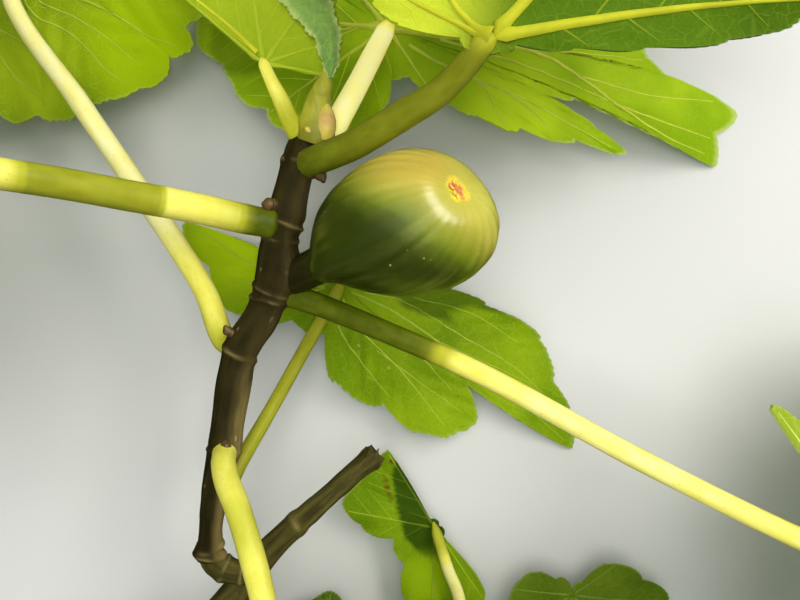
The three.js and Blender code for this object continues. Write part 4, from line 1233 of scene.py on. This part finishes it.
rollLook = {
    # the rolled-over margin of the young leaf: middle line and half width, in mm
    'line': [(-17.3, 55.4, 63.4, 0.5), (-17.4, 59.6, 64.2, 2.2), (-18.0, 65.2, 64.8, 3.1),
             (-20.4, 70.2, 65.2, 4.5), (-23.6, 75.0, 65.4, 5.4), (-27.4, 80.4, 65.2, 5.2),
             (-31.2, 86, 64.6, 4.0), (-34.6, 91, 63.6, 1.4)],
    'steps': 24,
    'across': 25,
    'arch': 1.7,
    'crinkle': 0.26,
    'crinkleLength': 1.7,
    'thickness': 0.5,
}


def crimpAt(place, beats, wander, sway, swayBeats):
    beat = beats * math.pi * place / rollLook['crinkleLength']
    return math.sin(beat + 2 * math.sin(place * wander)) + sway * math.sin(place * swayBeats)


def rolledMargin():
    path = smoothLine(rollLook['line'], rollLook['steps'])
    across = unit(np.cross(unit(np.gradient(path[:, :3], axis=0)), [0, 0, 1]))
    part = np.linspace(-1, 1, rollLook['across'])
    points = []
    for place, way, (x, y, z, half) in zip(lengthsAlong(path[:, :3]), across, path):
        crimp = rollLook['crinkle'] * min(1, half / 2)
        left = crimpAt(place, 2, 0.6, 1.6, 1.1)
        right = crimpAt(place, 2.2, 0.7, 1.2, 0.8)
        width = half * part + crimp * np.where(part > 0, right, -left) * np.abs(part) ** 5
        height = rollLook['arch'] * min(1, half / 3) * (1 - part ** 2)
        height += 0.8 * crimp * np.where(part > 0, left, right) * np.abs(part) ** 4
        upward = np.array([0, 0, 1]) * height[:, None]
        points.append(np.array([x, y, z]) + way * width[:, None] + upward)
    points = np.concatenate(points)
    points[:, 2] += 0.4 * softNoise(points, 1.1, 3) + 0.35 * softNoise(points, 2.6, 4)
    count = len(part)
    faces = [(a, b, b + count, a + count) for a, b in gridCells(len(path), count, False)]
    roll = meshPiece('leaf_5_roll', points, faces, [rolledSkin])
    uvMap(roll, 'leafPlace', points[:, :2] * mapScale)
    tell(roll, 'rim', 0.94 + 0.06 * np.tile(np.abs(part), len(path)))
    applyModifier(roll, 'SOLIDIFY', thickness=rollLook['thickness'] * mm, offset=0.0)
    return roll


for number, (lit, deep, main, side, special) in leafSkins.items():
    main, side = rgb(*main), rgb(*side)
    deeper = [0.84 * value for value in main[:3]] + [1.0]
    blade = leafPiece(number, [leafFinish(f'leafSkin{number}', rgb(*lit), rgb(*deep), **special),
                               veinFinish(f'mainVein{number}', main, deeper),
                               veinFinish(f'sideVein{number}', side, side)])
    if number == 5:
        blade = joined([blade, rolledMargin()], blade.name)
    young = leaves[number - 1].get('young') and number != 9
    settle(blade, f'leaf_{number}')
    settle(stalkPiece(number), f'leaf_stalk_{number}')


print('fruit')

figLook = {
    'segments': 180,
    'rings': 130,
    'heart': (1.2, 18.7, 67),        # the middle of the fruit
    'joint': (-29.6, 5.4, 52.5),     # where its neck meets the shoot
    'eye': (13.2, 24.8),
    'halfHeight': 17.3,
    'neckRadius': 4.8,
    'blend': 3.0,                    # how softly the neck runs into the body
    'ribs': 26,
    'ribHeight': 0.13,
    # the swelling round the eye and its hollow: height, distance and width
    'shoulder': ((0.55, 9.0, 3.8), (-0.8, 0, 4.2)),
    # the outline from above: direction from the middle and reach
    'outline': [(-176, 22.5), (-166, 23.6), (-158, 25.2), (-151, 26.8), (-147, 26.4), (-143, 23.6),
                (-137, 21.3), (-123, 19.3), (-107, 18.1),
                (-86, 17.7), (-66, 18.3), (-46, 20.0), (-31, 21.6), (-17, 22.7), (-4, 22.8), (9, 22.4),
                (23, 21.1), (38, 20.1), (57, 19.1), (80, 18.0), (104, 17.3), (128, 17.4), (148, 18.4),
                (168, 20.6)],
}


def figBody():
    # the skin's points before ribs, the directions to them, and where the fruit and its neck lie
    piece, ball = unitBall(figLook['segments'], figLook['rings'])
    piece.name = piece.data.name = 'fig_skin'
    while piece.data.uv_layers:
        piece.data.uv_layers.remove(piece.data.uv_layers[0])
    shift = np.append(middle, 0)
    heart = np.array(figLook['heart']) - shift
    neck = np.array(figLook['joint']) - shift - heart
    neckLength = np.linalg.norm(neck)
    neck /= neckLength
    slant = math.pi * (np.arccos(np.clip(ball[:, 2], -1, 1)) / math.pi) ** 1.5
    around = np.arctan2(ball[:, 1], ball[:, 0])
    side = unit(np.cross(neck, [0, 0, 1]))
    up = np.cross(side, neck)
    aside = side * np.cos(around)[:, None] + up * np.sin(around)[:, None]
    ray = neck * np.cos(slant)[:, None] + aside * np.sin(slant)[:, None]
    outline = np.array(figLook['outline'], float)
    outline = np.vstack([outline[-1] - [360, 0], outline, outline[0] + [360, 0]])
    heading = np.degrees(np.arctan2(ray[:, 1], ray[:, 0]))
    reach = np.mean([np.interp((heading + turn + 180) % 360 - 180, outline[:, 0], outline[:, 1])
                     for turn in (-5, -2.5, 0, 2.5, 5)], axis=0)
    flat = np.linalg.norm(ray[:, :2], axis=1)
    body = 1 / np.sqrt((flat / reach) ** 2 + (ray[:, 2] / figLook['halfHeight']) ** 2)
    stick = np.minimum(figLook['neckRadius'] / np.maximum(np.sin(slant), 1e-4), neckLength)
    stick = np.where(slant < 1.2, stick, 0)
    blend = figLook['blend']
    distance = blend * np.logaddexp(body / blend, stick / blend)
    return piece, heart + ray * distance[:, None], ray, heart, heart + neck * neckLength


def figPiece():
    piece, points, ray, heart, joint = figBody()
    # the eye lies on the upper side; ribs run from the neck to it
    eyePlan = np.array(figLook['eye']) - middle
    upper = points[:, 2] > heart[2]
    eyeAt = np.where(upper, np.linalg.norm(points[:, :2] - eyePlan, axis=1), 99).argmin()
    eye = points[eyeAt].copy()
    outward = unit(eye - heart)
    length = np.linalg.norm(eye - joint)
    axis = (eye - joint) / length
    offset = points - joint
    along = offset @ axis / length
    across = offset - np.outer(offset @ axis, axis)
    first = unit(np.cross(axis, [0, 0, 1]))
    turn = np.arctan2(across @ first, across @ np.cross(axis, first))
    wander = roundNoise(turn, 1.6, along * 1.4, 2)
    fine = roundNoise(turn, 9, along * 0.8, 6)
    rib = 0.6 * np.cos(figLook['ribs'] * turn + 2.2 * wander) + 0.8 * fine
    fromEye = np.linalg.norm(points - eye, axis=1)
    swell = ease(along, 0.2, 0.5) * ease(fromEye, 5, 16)
    points = points + ray * (figLook['ribHeight'] * rib * swell + 0.2 * swell * wander)[:, None]
    shoulder = sum(height * ridge(fromEye, at, width) for height, at, width in figLook['shoulder'])
    points = points + outward * shoulder[:, None]
    putPlaces(piece, points)

    # where its tints lie: to the right and up in the plan, in widths of the fruit
    spot = (points - heart) / 18
    # painted light and shade: lighter towards the upper right where the light comes from, darker at the
    # lower left, lighter again along its lower edge
    lit = 0.557 * spot[:, 0] + 0.836 * spot[:, 1] + 0.47 + 0.03 * wander + 0.02 * fine
    lit += 0.6 * ease(-spot[:, 1] - 0.2 * spot[:, 0], 0.58, 0.95)
    tell(piece, 'tone', np.clip(lit / 0.95, 0, 1))
    golden = ease(spot[:, 1] + 0.05 * wander, 0.16, 0.62)
    tell(piece, 'gold', golden * ridge(spot[:, 0], 0.08, 0.62))
    # painted light: brighter towards the top and upper edge
    topLightMask = ease(spot[:, 1] + 0.03 * wander, 0.58, 0.92)
    tell(piece, 'crown', topLightMask * ease(spot[:, 2], -0.2, 0.3))
    tell(piece, 'pale', ease(0.85 * spot[:, 0] + 0.4 * spot[:, 1], 0.62, 1.15))
    tell(piece, 'streak', 0.5 + 0.5 * np.clip(1.5 * fine + 0.4 * wander, -1, 1))
    tell(piece, 'neck', 1 - ease(along + 0.02 * fine, 0.14, 0.24))
    skin = figFinish(eye, outward)
    piece.data.materials.append(skin.material)
    return piece, eye, outward, skin


# The eye's scales: small flattened drops round the opening
eyeRings = [
    {'count': 5, 'radius': 0.8, 'size': 0.9, 'depth': 0.72},
    {'count': 7, 'radius': 1.7, 'size': 0.9, 'depth': 0.5},
]


def eyeScales(end, axis, skin):
    side = unit(np.cross(axis, [0, 0, 1]))
    up = np.cross(side, axis)
    scales = []
    for ring, look in enumerate(eyeRings):
        for place in range(look['count']):
            uneven = math.sin(2.7 * place + ring)
            turn = 2 * math.pi * (place + 0.5 * ring + 0.14 * uneven) / look['count']
            outward = side * math.cos(turn) + up * math.sin(turn)
            beside = np.cross(axis, outward)
            size = look['size'] * (1 + 0.22 * uneven)
            heart = end + outward * look['radius'] * (1 + 0.12 * uneven) - axis * look['depth']
            scale, ball = unitBall(14, 9)
            out, across, above = ball[:, :1], ball[:, 1:2], ball[:, 2:3]
            drop = (out * outward * (0.95 - 0.35 * across ** 2)
                    + across * beside * (0.8 - 0.1 * out) + above * axis * 0.12)
            putPlaces(scale, heart + size * drop)
            scale.data.materials.append(skin.material)
            for mark, value in (('tone', 0.85), ('gold', 0.5)):
                tell(scale, mark, np.full(len(ball), value))
            scales.append(scale)
    return scales


fig, figEnd, figAxis, figSkin = figPiece()
fig = joined([fig] + eyeScales(figEnd, figAxis, figSkin), 'fig_skin')
settle(fig, 'fig')


print('buds')

budLines = {
    'end_bud': [(-22.6, 40.6, 57, 4.5), (-21.6, 43.6, 57.6, 4.8), (-21.4, 47, 58.4, 4.3),
                (-20.7, 50.9, 59.4, 3.5), (-19.6, 53.6, 60.4, 2.5), (-18.7, 56.2, 61, 1.6),
                (-18.2, 58.6, 61.6, 1.1), (-18.6, 60.8, 62, 0.4)],
    'bud_1': [(-31, 24.5, 56, 1.8), (-33, 24.5, 57.6, 2.0), (-34.4, 24.5, 58.8, 1.5),
              (-35.2, 24.6, 59.4, 0.5)],
    'bud_2': [(-43.5, -9.6, 52, 1.3), (-44.8, -8.8, 53, 1.5), (-45.6, -8, 53.8, 1.2),
              (-46, -6.8, 54.6, 0.4)],
    'bud_3': [(-46.8, -38.8, 51, 1.5), (-46.2, -38.7, 52.6, 1.6), (-45.9, -38.6, 53.8, 1.3),
              (-45.6, -38.2, 54.8, 0.4)],
    'bract': [(-24.5, 33, 56, 1.2), (-21.6, 32.6, 58, 1.5), (-20.2, 31.8, 59.2, 1.4),
              (-19.4, 30, 60.2, 0.5)],
    'low_end_bud': [(38.8, -149, 6.5, 2.1), (43, -149.6, 7, 1.7), (46.4, -150.2, 7.6, 1.0),
                    (49, -150.6, 8, 0.3)],
}


budLook = {
    'steps': 10,
    'sides': 6,
    'extraSides': 5,
    'folds': 3,
    'foldHeight': 0.16,
    # the end bud's second, pinker scale against its right side, and a pink scar at its foot
    'extras': {
        'scale': [(-19.2, 41.2, 59.4, 1.9), (-18.9, 43.4, 60.2, 2.6), (-18.7, 45.8, 60.6, 2.5),
                  (-18.6, 48.0, 60.8, 1.7), (-18.5, 49.6, 61, 0.6)],
        'scar': [(-23.6, 43.6, 61.6, 0.4), (-23.2, 42.9, 62.0, 0.8), (-22.6, 42.2, 62.0, 0.4)],
    },
}


def budPiece(name, finish):
    piece, path = limbMesh(name + '_scales', budLines[name], budLook['steps'], budLook['sides'],
                           [finish])
    points = places(piece)
    along, around, out, tangent, length = whereOn(points, path)
    beat = budLook['folds'] * math.pi * along / length + 0.8 * np.cos(around)
    overlap = budLook['foldHeight'] * np.sign(np.sin(beat))
    points = points + out * (overlap * ease(along, 0, 1.0) * ease(length - along, 0, 1.5))[:, None]
    putPlaces(piece, points)
    tell(piece, 'height', along / length)
    return piece


for name in budLines:
    bud = budPiece(name, endBudSkin if name == 'end_bud' else budSkin)
    if name == 'end_bud':
        parts = [bud]
        for extra, line in budLook['extras'].items():
            part, path = limbMesh('end_bud_' + extra, line, budLook['steps'], budLook['extraSides'],
                                  [budPink])
            tell(part, 'height', np.ones(len(part.data.vertices)))
            parts.append(part)
        bud = joined(parts, 'end_bud_scales')
    settle(bud, name)


print('stage, light and camera')

stageLook = {
    # lengths in m
    'floorSize': 12,
    'floorDepth': 0.0002,
    'floorTint': (0.60, 0.60, 0.585, 1),
    'skyTint': (0.95, 0.98, 1.0, 1),
    'skyStrength': 0.42,
    'lens': 29.7,
    'sensor': 36,
    'cameraHeight': 0.228,
}
deselectAll()
bpy.ops.mesh.primitive_plane_add(size=stageLook['floorSize'], location=(0, 0, -stageLook['floorDepth']))
floor = bpy.context.object
floor.name = 'studio_floor'
paper = Finish('floorPaper', 0.9)
paper.paint(stageLook['floorTint'])
floor.data.materials.append(paper.material)
floor.visible_glossy = False

lightLook = {
    'key': {'from': (0.62, 0.42, 0.80), 'size': (0.8, 0.34), 'turn': -32, 'power': 8.0,
            'tint': (1.0, 0.97, 0.9)},
    'shine': {'from': (0.58, 0.40, 0.80), 'size': (0.7, 0.5), 'turn': -20, 'power': 14.5,
              'tint': (1.0, 0.97, 0.93)},
    'top': {'from': (-0.1, 0.5, 0.9), 'size': (0.6, 0.6), 'turn': 0, 'power': 2.6,
            'tint': (1.0, 0.99, 0.95)},
    'fill': {'from': (-0.5, -0.5, 0.6), 'size': (0.8, 0.8), 'turn': 0, 'power': 1.0,
             'tint': (0.95, 0.98, 1.0)},
    'near': {'from': (0.0044, 0.0229, 0.42), 'size': (0.2, 0.2), 'turn': 0, 'power': 0.85,
             'tint': (1.0, 1.0, 0.97)},
}
for name, look in lightLook.items():
    lamp = bpy.data.lights.new(name, 'AREA')
    lamp.shape = 'RECTANGLE'
    lamp.size, lamp.size_y = look['size']
    lamp.energy = look['power']
    lamp.color = look['tint']
    holder = bpy.data.objects.new(name, lamp)
    bpy.context.scene.collection.objects.link(holder)
    holder.location = look['from']
    holder.visible_glossy = name == 'shine'
    holder.visible_diffuse = name != 'shine'
    facing = (-Vector(look['from'])).to_track_quat('-Z', 'Y')
    holder.rotation_euler = (facing @ Quaternion((0, 0, 1), math.radians(look['turn']))).to_euler()

world = bpy.context.scene.world or bpy.data.worlds.new('studio')
bpy.context.scene.world = world
world.use_nodes = True
sky = world.node_tree.nodes['Background'].inputs
sky['Color'].default_value = stageLook['skyTint']
sky['Strength'].default_value = stageLook['skyStrength']
world.cycles_visibility.glossy = False
bpy.context.scene.view_settings.view_transform = 'Standard'

cameraData = bpy.data.cameras.new('camera')
cameraData.lens = stageLook['lens']
cameraData.sensor_width = stageLook['sensor']
cameraData.clip_start = 0.005
camera = bpy.data.objects.new('camera', cameraData)
bpy.context.scene.collection.objects.link(camera)
camera.location = (-middle[0] * mm, -middle[1] * mm, stageLook['cameraHeight'])
bpy.context.scene.camera = camera

deselectAll()
